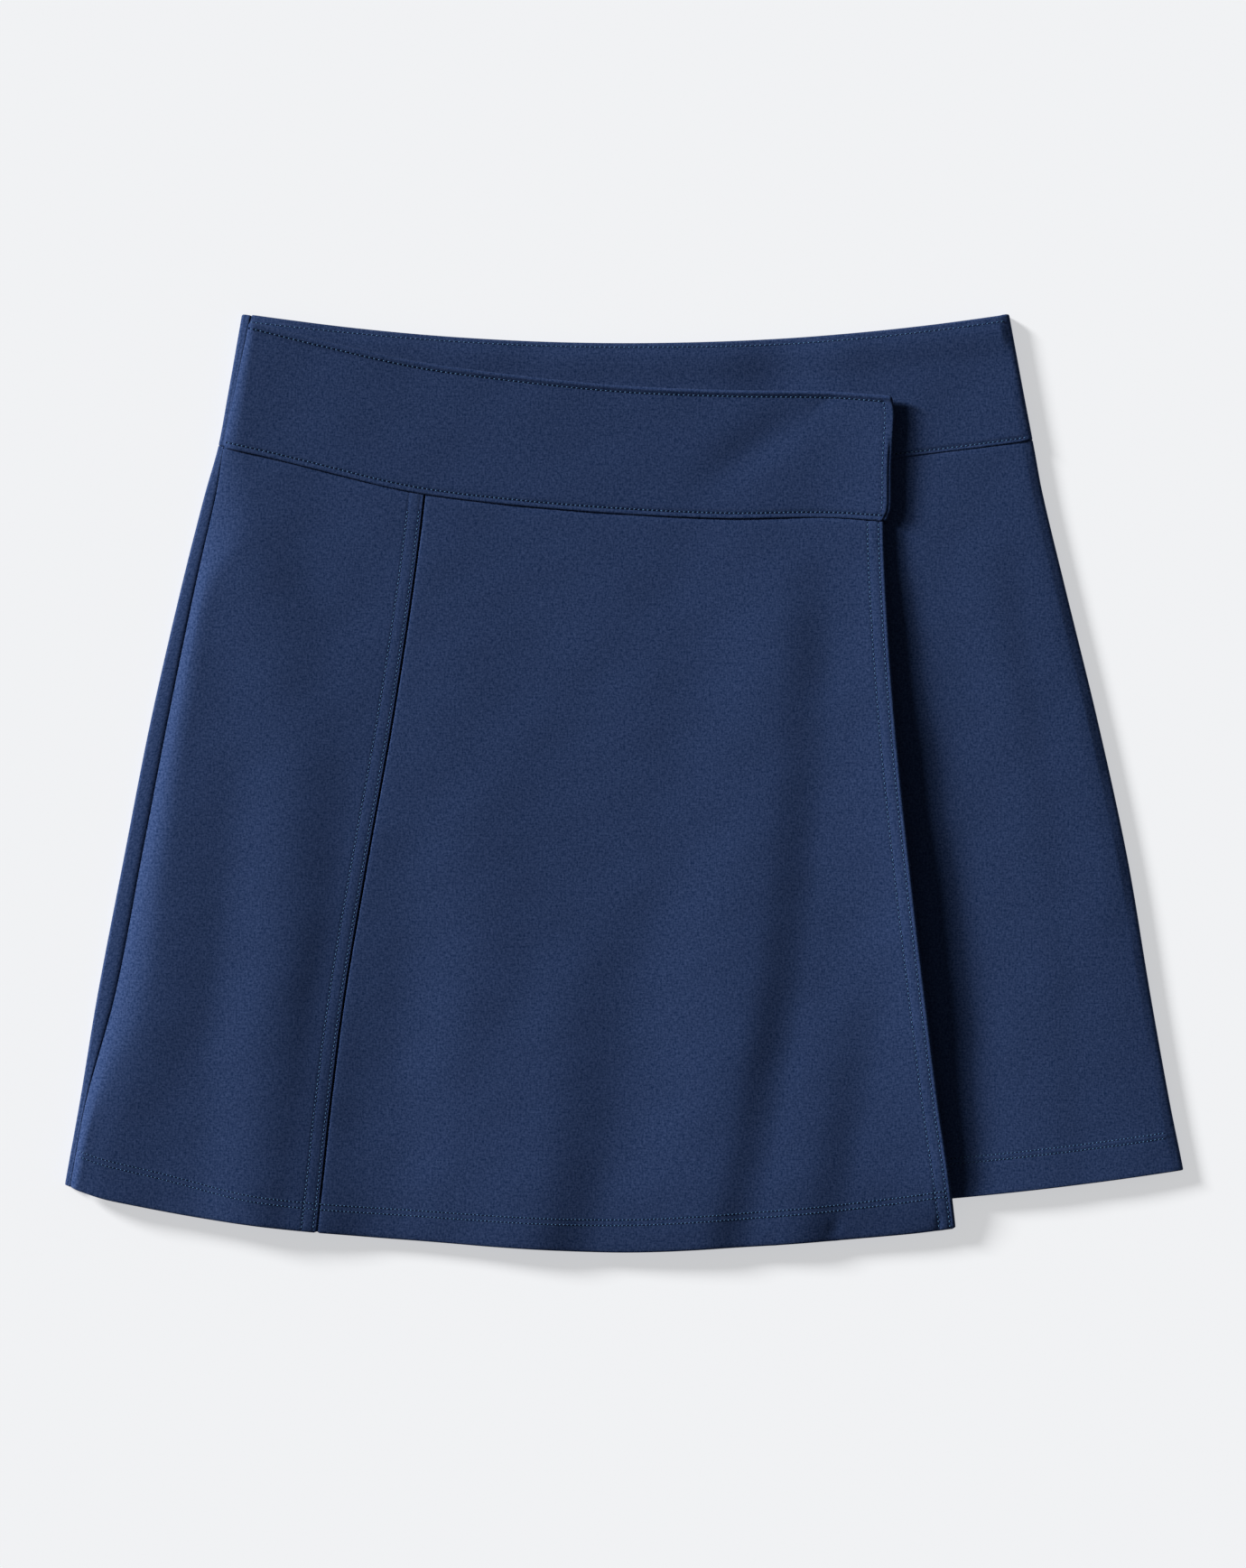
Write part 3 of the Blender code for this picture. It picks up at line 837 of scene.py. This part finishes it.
def turned_columns(fold, side, radius, flap_end, upward):
    """Columns round a side fold and along the turned flap. side is -1 at the left, 1 at the right.

    radius is the outside of the turn. upward says that the cloth comes from the table.
    """

    def column(angle, flap):
        def at(y):
            centre = fold(y) - side * radius
            rising = min(angle if upward else math.pi - angle, math.pi)
            out = radius * math.sin(rising) ** FOLD_POWER[side]
            x = mix(centre + side * out, flap_end(y), flap)
            rise = FLAP_RISE * (1 - (1 - flap) ** 2 - flap**6) if upward else 0
            z = np.full_like(x, radius * (1 - math.cos(rising)) + rise)
            run = centre + side * (radius * angle + flap * np.abs(flap_end(y) - centre))
            return x, z, run

        return at

    turn = [column(math.pi * k / TURN_STEPS, 0.0) for k in range(TURN_STEPS + 1)]
    return turn + [column(math.pi, k / FLAP_STEPS) for k in range(1, FLAP_STEPS + 1)]


def lay_out(columns, bottom, top, lines):
    """x, y, z and u of a grid: a line of points for each row, from the hem up."""
    share, offset = lines.T
    made = []
    for at in columns:
        y = mix(bottom(0.0), top(0.0), share) + offset
        for _ in range(SETTLING):
            x = at(y)[0]
            y = mix(bottom(x), top(x), share) + offset
        x, z, u = at(y)
        made.append(np.stack([x, y, z, u], 1))
    return np.stack(made, 1)


def unit(vectors):
    return vectors / np.maximum(np.linalg.norm(vectors, axis=-1, keepdims=True), 1e-9)


def outline_of(rows, columns):
    """Indices of a grid's border, once round, anticlockwise as seen from outside."""
    index = np.arange(rows * columns).reshape(rows, columns)
    return np.concatenate([index[0, :-1], index[:-1, -1], index[-1, :0:-1], index[:0:-1, 0]])


def shell(name, grid, thickness, material):
    """A closed sheet with a rounded rim. grid holds the outer side's x, y, z and u."""
    rows, columns = grid.shape[:2]
    outer = grid[..., :3]
    normal = unit(np.cross(np.gradient(outer, axis=1), np.gradient(outer, axis=0)))
    inner = outer - normal * thickness[..., None]
    uv = grid[..., [3, 1]].reshape(-1, 2)
    loop = outline_of(rows, columns)
    upper, lower = outer.reshape(-1, 3)[loop], inner.reshape(-1, 3)[loop]
    centre, radius = (upper + lower) / 2, thickness.reshape(-1)[loop][:, None] / 2
    ahead = np.roll(centre, -1, 0) - np.roll(centre, 1, 0)
    outward = unit(np.cross(ahead, upper - lower))
    uv_ahead = np.roll(uv[loop], -1, 0) - np.roll(uv[loop], 1, 0)
    uv_outward = unit(np.stack([uv_ahead[:, 1], -uv_ahead[:, 0]], 1))
    rings, ring_uvs = [], []
    for k in range(1, RIM_STEPS):
        angle = math.pi * k / RIM_STEPS
        rings.append(centre + (upper - centre) * math.cos(angle) + outward * radius * math.sin(angle))
        ring_uvs.append(uv[loop] + uv_outward * radius * angle)
    vertices = np.concatenate([outer.reshape(-1, 3), inner.reshape(-1, 3), *rings])
    uvs = np.concatenate([uv, uv, *ring_uvs])

    index = np.arange(rows * columns).reshape(rows, columns)
    corners = (index[:-1, :-1], index[:-1, 1:], index[1:, 1:], index[1:, :-1])
    outside = np.stack(corners, -1).reshape(-1, 4)
    inside = outside[:, ::-1] + rows * columns
    ring_start = 2 * rows * columns
    ladders = [loop]
    ladders += [ring_start + k * len(loop) + np.arange(len(loop)) for k in range(RIM_STEPS - 1)]
    ladders.append(loop + rows * columns)
    rim = [
        np.stack([above, below, np.roll(below, -1), np.roll(above, -1)], 1)
        for above, below in zip(ladders[:-1], ladders[1:])
    ]
    faces = np.concatenate([outside, inside, *rim])
    return mesh_object(name, vertices, faces.tolist(), uvs, [material])


def mesh_object(name, vertices, faces, uvs, materials, kinds=None):
    """An object from lists of faces; kinds says which of the materials each face has."""
    mesh = bpy.data.meshes.new(name)
    mesh.from_pydata((vertices * MM).tolist(), [], faces)
    layer = mesh.uv_layers.new(name="cloth")
    corner = np.empty(len(mesh.loops), np.int32)
    mesh.loops.foreach_get("vertex_index", corner)
    layer.data.foreach_set("uv", uvs[corner].astype(np.float32).ravel())
    for material in materials:
        mesh.materials.append(material)
    if kinds:
        mesh.polygons.foreach_set("material_index", kinds)
    mesh.shade_smooth()
    piece = bpy.data.objects.new(name, mesh)
    bpy.context.scene.collection.objects.link(piece)
    return piece


def declare(piece, node):
    """Attaches a sheet to the root and hides the solid of that name, whose place it takes."""
    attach(piece, "root")
    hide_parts(node)


def set_heights(grid, height, *sizes):
    """Fills in the height of every point that has none of its own."""
    found = height(grid[..., 0], grid[..., 1], *sizes)
    grid[..., 2] = np.where(np.isnan(grid[..., 2]), found, grid[..., 2])


def edge_thickness(grid, thickness, *depths):
    """Thickness at each point: two layers where any inward distance is less than its depth."""
    layers = sum(doubled(distance, depth) for distance, depth in depths) if depths else 0
    return thickness * (1 + np.minimum(layers, 1)) + np.zeros(grid.shape[:2])


# ---------------------------------------------------------------- operators


class SKORT_OT_wrap_front(bpy.types.Operator):
    """Makes the crossed front: its waistband, side panel and front panel"""

    bl_idname = "skort.wrap_front"
    bl_label = "Wrap front"

    def execute(self, context):
        sizes, finish = context.scene.skort_sizes, knit(context.scene.skort_colours)
        cloth, band, step = sizes.cloth / MM, sizes.band / MM, sizes.grid_step / MM
        rim, half_gap = cloth / 2, SEAM_GAP / 2

        hem, top = inward(cloth, 22), inward(rim - SEAM_LAP, 5, fine=3)
        rows = places(hem, top, 370, step)
        allowance = inward(rim + SEAM_OPEN, 13, SEAM_ROWS, fine=10)
        side_lines = places(inward(rim + SEAM_GAP, 6), allowance, 105, step)
        side = lay_out(flat_columns(side_seam, princess, side_lines), wrap_hem, wrap_yoke, rows)
        past_seam, edge = inward(rim + half_gap, 6, fine=3), inward(cloth, 14, EDGE_ROWS, fine=11)
        front_lines = places(past_seam, edge, 290, step)
        front = lay_out(flat_columns(princess, wrap_edge, front_lines), wrap_hem, wrap_yoke, rows)
        for grid in (side, front):
            set_heights(grid, wrap_surface, cloth)

        hem_depth = WRAP_HEM_ROW[0][1]
        from_hem = side[..., 1] - wrap_hem(side[..., 0])
        thick = edge_thickness(side, cloth, (from_hem, hem_depth))
        piece = shell("wrap_side_cloth", side, thick, finish)
        declare(piece, "wrap_side_panel")

        from_hem = front[..., 1] - wrap_hem(front[..., 0])
        from_edge = wrap_edge(front[..., 1]) - front[..., 0]
        thick = edge_thickness(front, cloth, (from_hem, hem_depth), (from_edge, EDGE_ALLOWANCE))
        piece = shell("wrap_front_cloth", front, thick, finish)
        declare(piece, "wrap_front_panel")

        rim = band / 2
        rows = places(inward(rim + half_gap, 6, fine=5), inward(rim, 7, fine=6), 64, step)
        columns = places(inward(rim, 6), inward(rim, 8, (BAND_END_ROW,), fine=4), 322, step)
        grid = lay_out(flat_columns(side_seam, band_end, columns), wrap_yoke, wrap_top, rows)
        set_heights(grid, wrap_band_surface, band)
        piece = shell("wrap_band_cloth", grid, edge_thickness(grid, band), finish)
        declare(piece, "wrap_band")
        return {"FINISHED"}


class SKORT_OT_under_front(bpy.types.Operator):
    """Makes the front that the wrap covers: its waistband and its panel, turned at the right"""

    bl_idname = "skort.under_front"
    bl_label = "Under front"

    def execute(self, context):
        sizes, finish = context.scene.skort_sizes, knit(context.scene.skort_colours)
        cloth, band, step = sizes.cloth / MM, sizes.band / MM, sizes.grid_step / MM
        fold = sizes.right_radius / MM

        def columns(thickness, start):
            radius = fold + thickness / 2
            lines = places(inward(start, start + 6), inward(radius, 26), 500, step)
            flat = flat_columns(side_seam, right_fold, lines)
            end = lambda y: right_fold(y) - RIGHT_TURN + thickness / 2
            return flat[:-1] + turned_columns(right_fold, 1, radius, end, upward=False)

        hem_rows_in = UNDER_HEM_ROW[0][1], UNDER_HEM_ROW[0][1] + HEM_ROWS_APART
        hem, top = inward(cloth, 23, hem_rows_in), inward(cloth / 2 - SEAM_LAP, 5, fine=3)
        rows = places(hem, top, 375, step)
        grid = lay_out(columns(cloth, UNDER_START), under_hem, yoke, rows)
        set_heights(grid, under_surface, cloth, fold)
        piece = shell("under_cloth", grid, edge_thickness(grid, cloth), finish)
        declare(piece, "under_panel")

        foot, top = inward((band + SEAM_GAP) / 2, 6, fine=5), inward(band / 2, 7, fine=5)
        rows = places(foot, top, 64, step)
        grid = lay_out(columns(band, band / 2 + SEAM_GAP), yoke, waist, rows)
        set_heights(grid, under_band_surface, band, fold)
        piece = shell("under_band_cloth", grid, edge_thickness(grid, band), finish)
        declare(piece, "under_band")
        return {"FINISHED"}


class SKORT_OT_back(bpy.types.Operator):
    """Makes the back: its waistband and its panel, flat on the table and turned up at the left"""

    bl_idname = "skort.back"
    bl_label = "Back"

    def execute(self, context):
        sizes, finish = context.scene.skort_sizes, knit(context.scene.skort_colours)
        cloth, band, step = sizes.cloth / MM, sizes.band / MM, sizes.hidden_step / MM
        fold = sizes.left_radius / MM

        def columns(thickness):
            radius = fold + thickness / 2
            near = inward(RIGHT_TURN + SEAM_GAP + thickness / 2, RIGHT_TURN + 6)
            lines = places(near, inward(radius, 8), 500, step)
            flat = flat_columns(right_fold, left_fold, lines * (1, -1))
            end = lambda y: side_seam(y) + FLAP_TUCK
            return flat[:-1] + turned_columns(left_fold, -1, radius, end, upward=True)

        def panel_height(x, y):
            from_row = y - back_hem(x) - under_hem_row(x)
            return BACK_OFF_TABLE - pinched(from_row, 0) - pinched(from_row, HEM_ROWS_APART)

        def band_height(x, y):
            foot, top = pinched(y - yoke(x), UNDER_FOOT_ROW), pinched(waist(x) - y, under_top_row(x))
            return BACK_OFF_TABLE - foot - top

        hem, top = inward(cloth / 2, 23, fine=22), inward(cloth / 2 - SEAM_LAP, 4)
        grid = lay_out(columns(cloth), back_hem, yoke, places(hem, top, 375, step))
        set_heights(grid, panel_height)
        piece = shell("back_cloth", grid, edge_thickness(grid, cloth * 0.9), finish)
        declare(piece, "back_panel")

        foot, top = inward((band + SEAM_GAP) / 2, 5, fine=4), inward(band / 2, 6, fine=5)
        grid = lay_out(columns(band), yoke, back_waist, places(foot, top, 64, step))
        set_heights(grid, band_height)
        piece = shell("back_band_cloth", grid, edge_thickness(grid, band * 0.93), finish)
        declare(piece, "back_band")
        return {"FINISHED"}


class SKORT_OT_shorts(bpy.types.Operator):
    """Makes the inner shorts: a front and a back for each leg"""

    bl_idname = "skort.shorts"
    bl_label = "Inner shorts"

    def execute(self, context):
        sizes, finish = context.scene.skort_sizes, jersey(context.scene.skort_colours)
        liner, step = sizes.liner / MM, sizes.hidden_step / MM

        def inner(y):
            below = np.maximum(CROTCH - y, 0)
            return SEAM_GAP / 2 + LEG_GAP * (1 - np.exp(-below / LEG_GAP_REACH))

        def front_height(x, y):
            """The front comes down on to the back along the side seam and the inseam."""
            from_side = (shorts_outer(y) - np.abs(x)) / LINER_EDGE_WIDTH
            from_inseam = (np.abs(x) - inner(y) + np.maximum(y - CROTCH, 0)) / LINER_EDGE_WIDTH
            low = LINER_BACK + liner + SEAM_GAP
            return mix(low, LINER_FRONT, ease(from_side) * ease(from_inseam)) + liner / 2

        def back_height(x, y):
            return LINER_BACK + liner / 2 + 0 * x

        edge = inward(liner / 2, 4)
        rows = places(edge, edge, 300, step)
        for side, word in ((-1, "right"), (1, "left")):
            near, far = (shorts_outer, inner) if side < 0 else (inner, shorts_outer)
            lines = places(edge, edge, 190, step)
            flip = lambda line: (lambda y: side * line(y))
            for layer, height in (("front", front_height), ("back", back_height)):
                columns = flat_columns(flip(near), flip(far), lines)
                grid = lay_out(columns, lambda x: LEG_HEM + 0 * x, yoke, rows)
                set_heights(grid, height)
                thick = edge_thickness(grid, liner)
                piece = shell(f"shorts_{layer}_cloth_{word}", grid, thick, finish)
                node = f"shorts_{layer}_{word}"
                declare(piece, node)
        return {"FINISHED"}


# A row of stitches: where it runs, on which surface, its stitch length and the width of its
# needle holes, and whether it is seen from below
Row = namedtuple("Row", "points height pitch hole below", defaults=(False,))
# The rings of a stitch: place along it, lift and girth, as shares of its length and thickness
STITCH_RINGS = ((-0.5, -0.9, 0.45), (-0.3, 0.2, 0.9), (0.0, 0.55, 1.0), (0.3, 0.2, 0.9), (0.5, -0.9, 0.45))
STITCH_SIDES = 6
STITCH_SHOWN = 0.5  # share of the pitch over which the thread lies on top
STITCH_SLANT = math.radians(6)
# The discs of painted shade on the needle holes: their lift over the cloth and how round they are
HOLE_LIFT, HOLE_ROUNDNESS = 0.05, 0.8


def across(line, start, end):
    """Points of a row that follows a line across the garment."""
    x = np.arange(start, end, 1.0)
    return x, line(x)


def along(line, start, end):
    """Points of a row that follows a line down the garment."""
    y = np.arange(start, end, 1.0)
    return line(y), y


def hem_rows(hem, inset, start, end):
    """Points of the two rows of a hem, the first of them inset(x) above its edge."""
    return [
        across(lambda x, up=up: hem(x) + inset(x) + up, start, end) for up in (0, HEM_ROWS_APART)
    ]


def stitch_places(row):
    """The needle holes of a row, and which way is ahead and outward at each."""
    x, y = row.points
    run = np.concatenate([[0], np.cumsum(np.hypot(np.diff(x), np.diff(y)))])
    holes = np.linspace(0, run[-1], int(run[-1] / row.pitch) + 1)
    x, y = np.interp(holes, run, x), np.interp(holes, run, y)
    points = np.stack([x, y, row.height(x, y)], 1)
    probe = 0.5
    slope_x = (row.height(x + probe, y) - row.height(x - probe, y)) / (2 * probe)
    slope_y = (row.height(x, y + probe) - row.height(x, y - probe)) / (2 * probe)
    outward = unit(np.stack([-slope_x, -slope_y, np.ones_like(x)], 1))
    return points, unit(np.gradient(points, axis=0)), -outward if row.below else outward


def ring(middle, side, up, width):
    """A ring of points round each middle, flat in the plane of its side and up directions."""
    turn = (2 * math.pi * np.arange(STITCH_SIDES) / STITCH_SIDES)[None, :, None]
    round_it = side[:, None] * np.cos(turn) + up[:, None] * np.sin(turn)
    return middle[:, None] + round_it * width / 2


def row_of_threads(points, outward, pitch, thread):
    """Vertices, faces and UVs of one short thread from each needle hole to the next."""
    middle, up = (points[:-1] + points[1:]) / 2, unit(outward[:-1] + outward[1:])
    ahead = unit(np.diff(points, axis=0))
    ahead = ahead * math.cos(STITCH_SLANT) + np.cross(up, ahead) * math.sin(STITCH_SLANT)
    side, reach = np.cross(up, ahead), pitch * STITCH_SHOWN
    rings = [
        ring(middle + ahead * place * reach + up * lift * thread / 2, side, up, girth * thread)
        for place, lift, girth in STITCH_RINGS
    ]
    vertices = np.stack(rings, 1)
    index = np.arange(vertices.shape[1] * STITCH_SIDES).reshape(-1, STITCH_SIDES)
    turned = np.roll(index, -1, 1)
    walls = np.stack([index[:-1], turned[:-1], turned[1:], index[1:]], -1).reshape(-1, 4)
    caps = np.stack([index[0][::-1], index[-1]])
    faces = []
    for start in range(0, len(middle) * index.size, index.size):
        faces += (walls + start).tolist() + (caps + start).tolist()
    run = [place * reach for place, _, _ in STITCH_RINGS]
    v, u = np.meshgrid(np.arange(STITCH_SIDES) * thread / 2, run)
    uvs = np.tile(np.stack([u, v], -1).reshape(-1, 2), (len(middle), 1))
    return vertices.reshape(-1, 3), faces, uvs


def row_of_hole_shades(points, ahead, outward, hole):
    """Vertices, faces and UVs of a small disc of painted shade on each needle hole."""
    side = np.cross(outward, ahead)
    vertices = ring(points + outward * HOLE_LIFT, ahead * HOLE_ROUNDNESS, side, hole)
    faces = np.arange(vertices.shape[0] * STITCH_SIDES).reshape(-1, STITCH_SIDES)
    return vertices.reshape(-1, 3), faces.tolist(), np.zeros((faces.size, 2))


def stitches(name, rows, sizes, colours):
    """One piece of all the stitches of some rows, and of the discs of painted shade on the needle holes
    between them.
    """
    thread = sizes.thread / MM
    vertices, faces, uvs, kinds, start = [], [], [], [], 0
    for row in rows:
        points, ahead, outward = stitch_places(row)
        threads = row_of_threads(points, outward, row.pitch, thread)
        holes = row_of_hole_shades(points, ahead, outward, row.hole)
        for kind, made in enumerate((threads, holes)):
            vertices.append(made[0])
            faces += [[corner + start for corner in face] for face in made[1]]
            uvs.append(made[2])
            kinds += [kind] * len(made[1])
            start += len(made[0])
    name_of_thread, name_of_hole_shade = "spun polyester thread", "shaded needle hole"
    finishes = [
        material_once(name_of_thread, sewing_thread, name_of_thread, tuple(colours.thread)),
        material_once(name_of_hole_shade, painted_hole_shade, name_of_hole_shade, tuple(colours.hole)),
    ]
    piece = mesh_object(name, np.concatenate(vertices), faces, np.concatenate(uvs), finishes, kinds)
    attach(piece, "root")


class SKORT_OT_stitching(bpy.types.Operator):
    """Sews the rows of stitches of the bands, the topstitched seam, the free edge and the hems"""

    bl_idname = "skort.stitching"
    bl_label = "Stitching"

    def execute(self, context):
        sizes, colours = context.scene.skort_sizes, context.scene.skort_colours
        cloth, band, fold = sizes.cloth / MM, sizes.band / MM, sizes.right_radius / MM
        hole, small_hole = sizes.hole / MM, sizes.small_hole / MM
        fine_hole = sizes.fine_hole / MM
        top_stitch, foot_stitch = sizes.top_stitch / MM, sizes.foot_stitch / MM
        edge_stitch, seam_stitch = sizes.edge_stitch / MM, sizes.seam_stitch / MM
        hem_stitch = sizes.hem_stitch / MM

        on_wrap = lambda x, y: wrap_surface(x, y, cloth)
        on_wrap_band = lambda x, y: wrap_band_surface(x, y, band)
        on_under = lambda x, y: under_surface(x, y, cloth, fold)
        on_under_band = lambda x, y: under_band_surface(x, y, band, fold)
        on_back = lambda x, y: BACK_OFF_TABLE + PINCH + 0 * x

        top = across(lambda x: wrap_top(x) - WRAP_TOP_ROW, -182, 126)
        foot = across(lambda x: wrap_yoke(x) + WRAP_FOOT_ROW, -193, 126)
        end = along(lambda y: band_end(y) - BAND_END_ROW, 133, 187)
        rows = [
            Row(top, on_wrap_band, top_stitch, hole),
            Row(foot, on_wrap_band, foot_stitch, hole),
            Row(end, on_wrap_band, top_stitch, fine_hole),
        ]
        stitches("wrap_band_stitches", rows, sizes, colours)

        top = across(lambda x: waist(x) - under_top_row(x), -182, 186)
        foot = across(lambda x: yoke(x) + UNDER_FOOT_ROW, -192, 197)
        rows = [
            Row(top, on_under_band, top_stitch, fine_hole),
            Row(foot, on_under_band, foot_stitch, small_hole),
        ]
        stitches("under_band_stitches", rows, sizes, colours)

        rows = [
            Row(along(lambda y: princess(y) - inset, -216, 134), on_wrap, seam_stitch, small_hole)
            for inset in SEAM_ROWS
        ]
        stitches("side_seam_stitches", rows, sizes, colours)
        rows = [
            Row(along(lambda y: wrap_edge(y) - inset, -216, 128), on_wrap, edge_stitch, small_hole)
            for inset in EDGE_ROWS
        ]
        stitches("free_edge_stitches", rows, sizes, colours)

        both = hem_rows(wrap_hem, wrap_hem_row, -265, 157)
        rows = [Row(points, on_wrap, hem_stitch, fine_hole) for points in both]
        stitches("wrap_hem_stitches", rows, sizes, colours)
        both = hem_rows(under_hem, under_hem_row, -255, 264)
        rows = [Row(points, on_under, hem_stitch, fine_hole) for points in both]
        stitches("under_hem_stitches", rows, sizes, colours)

        both = hem_rows(back_hem, under_hem_row, -266, 262)
        top = across(lambda x: back_waist(x) - under_top_row(x), -182, 176)
        foot = across(lambda x: yoke(x) + UNDER_FOOT_ROW, -194, 188)
        rows = [
            *(Row(points, on_back, hem_stitch, fine_hole, True) for points in both),
            Row(top, on_back, top_stitch, small_hole, True),
            Row(foot, on_back, foot_stitch, small_hole, True),
        ]
        stitches("back_stitches", rows, sizes, colours)
        return {"FINISHED"}


# ---------------------------------------------------------------- stage

TABLE_SIZE = 12.0
TABLE_FILL = 0.67  # share of the table's light that reaches it in the garment's shadow
LENS, CAMERA_X, CAMERA_HEIGHT = 135.0, -0.0004, 2.865
# Soft lights, in degrees: how far round from the left towards the waist, how high over the
# table, and how wide; and each one's share of all the light that falls on a flat surface
Sun = namedtuple("Sun", "name side rise spread share")
LOW_SUN = Sun("low cloth light", 22, 15.5, 10, 0.60)
HIGH_SUN = Sun("high cloth light", 22, 24, 14, 0.33)
TABLE_SUN = Sun("table light", 34, 20.5, 12, 1 - TABLE_FILL)
RETURN_SUN = Sun("light thrown back on the right fold", 180, 20, 40, 0.025)
FULL_LIGHT = math.pi  # strength at which a surface facing the light has its own colour
SKY_SHARE = 0.07
BACKDROP = 0.88


class SKORT_OT_stage(bpy.types.Operator):
    """Sets the pale table, the soft light from the left and the camera overhead"""

    bl_idname = "skort.stage"
    bl_label = "Stage"

    def execute(self, context):
        scene = context.scene
        colours = scene.skort_colours
        bpy.ops.object.select_all(action="DESELECT")
        bpy.ops.mesh.primitive_plane_add(size=TABLE_SIZE, location=(0, 0, 0))
        table = context.object
        table.name = "table"
        made, tree, shader = new_material("matt white board")
        shade = tuple(colours.table)
        shader.inputs["Base Color"].default_value = (*shade, 1)
        shader.inputs["Roughness"].default_value = 1.0
        shader.inputs["Specular IOR Level"].default_value = 0.0
        shader.inputs["Emission Color"].default_value = (*shade, 1)
        shader.inputs["Emission Strength"].default_value = TABLE_FILL - SKY_SHARE
        table.data.materials.append(made)
        table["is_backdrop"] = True

        under = [bpy.data.objects[name] for name in ("under_cloth", "under_band_cloth")]
        suns = (
            (LOW_SUN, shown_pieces()),
            (HIGH_SUN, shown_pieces()),
            (TABLE_SUN, [table]),
            (RETURN_SUN, under),
        )
        for sun, lit in suns:
            bpy.ops.object.light_add(type="SUN", location=(-1, 0.4, 1))
            lamp = context.object
            lamp.name = sun.name
            lamp.rotation_euler = (0, math.radians(sun.rise - 90), math.radians(-sun.side))
            lamp.data.angle = math.radians(sun.spread)
            lamp.data.energy = FULL_LIGHT * sun.share / math.sin(math.radians(sun.rise))
            receivers = bpy.data.collections.new(sun.name)
            for thing in lit:
                receivers.objects.link(thing)
            lamp.light_linking.receiver_collection = receivers

        world = bpy.data.worlds.new("studio")
        world.use_nodes = True
        tree = world.node_tree
        background = tree.nodes["Background"]
        seen = add_node(tree, "ShaderNodeLightPath").outputs["Is Camera Ray"]
        limits = {"Value": seen, "To Min": SKY_SHARE, "To Max": BACKDROP}
        strength = add_node(tree, "ShaderNodeMapRange", inputs=limits)
        tree.links.new(strength.outputs[0], background.inputs["Strength"])
        background.inputs["Color"].default_value = (0.97, 0.985, 1.0, 1)
        scene.world = world

        bpy.ops.object.camera_add(location=(CAMERA_X, 0, CAMERA_HEIGHT), rotation=(0, 0, 0))
        camera = context.object
        camera.name = "overhead camera"
        camera.data.lens = LENS
        camera.data.clip_end = 50
        scene.camera = camera
        scene.view_settings.view_transform = "Standard"
        return {"FINISHED"}


OPERATORS = (
    SKORT_OT_back,
    SKORT_OT_shorts,
    SKORT_OT_under_front,
    SKORT_OT_wrap_front,
    SKORT_OT_stitching,
    SKORT_OT_stage,
)


class SKORT_PT_panel(bpy.types.Panel):
    """Lists the skort's sizes, colours and pieces"""

    bl_label = "Wrap-front skort"
    bl_idname = "SKORT_PT_panel"
    bl_space_type = "VIEW_3D"
    bl_region_type = "UI"
    bl_category = "Skort"

    def draw(self, context):
        for group in (context.scene.skort_sizes, context.scene.skort_colours):
            box = self.layout.box()
            for name in type(group).__annotations__:
                box.prop(group, name)
        for operator in OPERATORS:
            self.layout.operator(operator.bl_idname)


CLASSES = (SkortSizes, SkortColours, *OPERATORS, SKORT_PT_panel)


def register():
    for kind in CLASSES:
        bpy.utils.register_class(kind)
    bpy.types.Scene.skort_sizes = PointerProperty(type=SkortSizes)
    bpy.types.Scene.skort_colours = PointerProperty(type=SkortColours)


def unregister():
    del bpy.types.Scene.skort_colours
    del bpy.types.Scene.skort_sizes
    for kind in reversed(CLASSES):
        bpy.utils.unregister_class(kind)


def corners(box):
    return [[float(part) for part in corner] for corner in box]


def main():
    register()
    bpy.ops.skort.back()
    bpy.ops.skort.shorts()
    bpy.ops.skort.under_front()
    bpy.ops.skort.wrap_front()
    bpy.ops.skort.stitching()
    bpy.ops.skort.stage()
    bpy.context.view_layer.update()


if __name__ == "__main__":
    main()
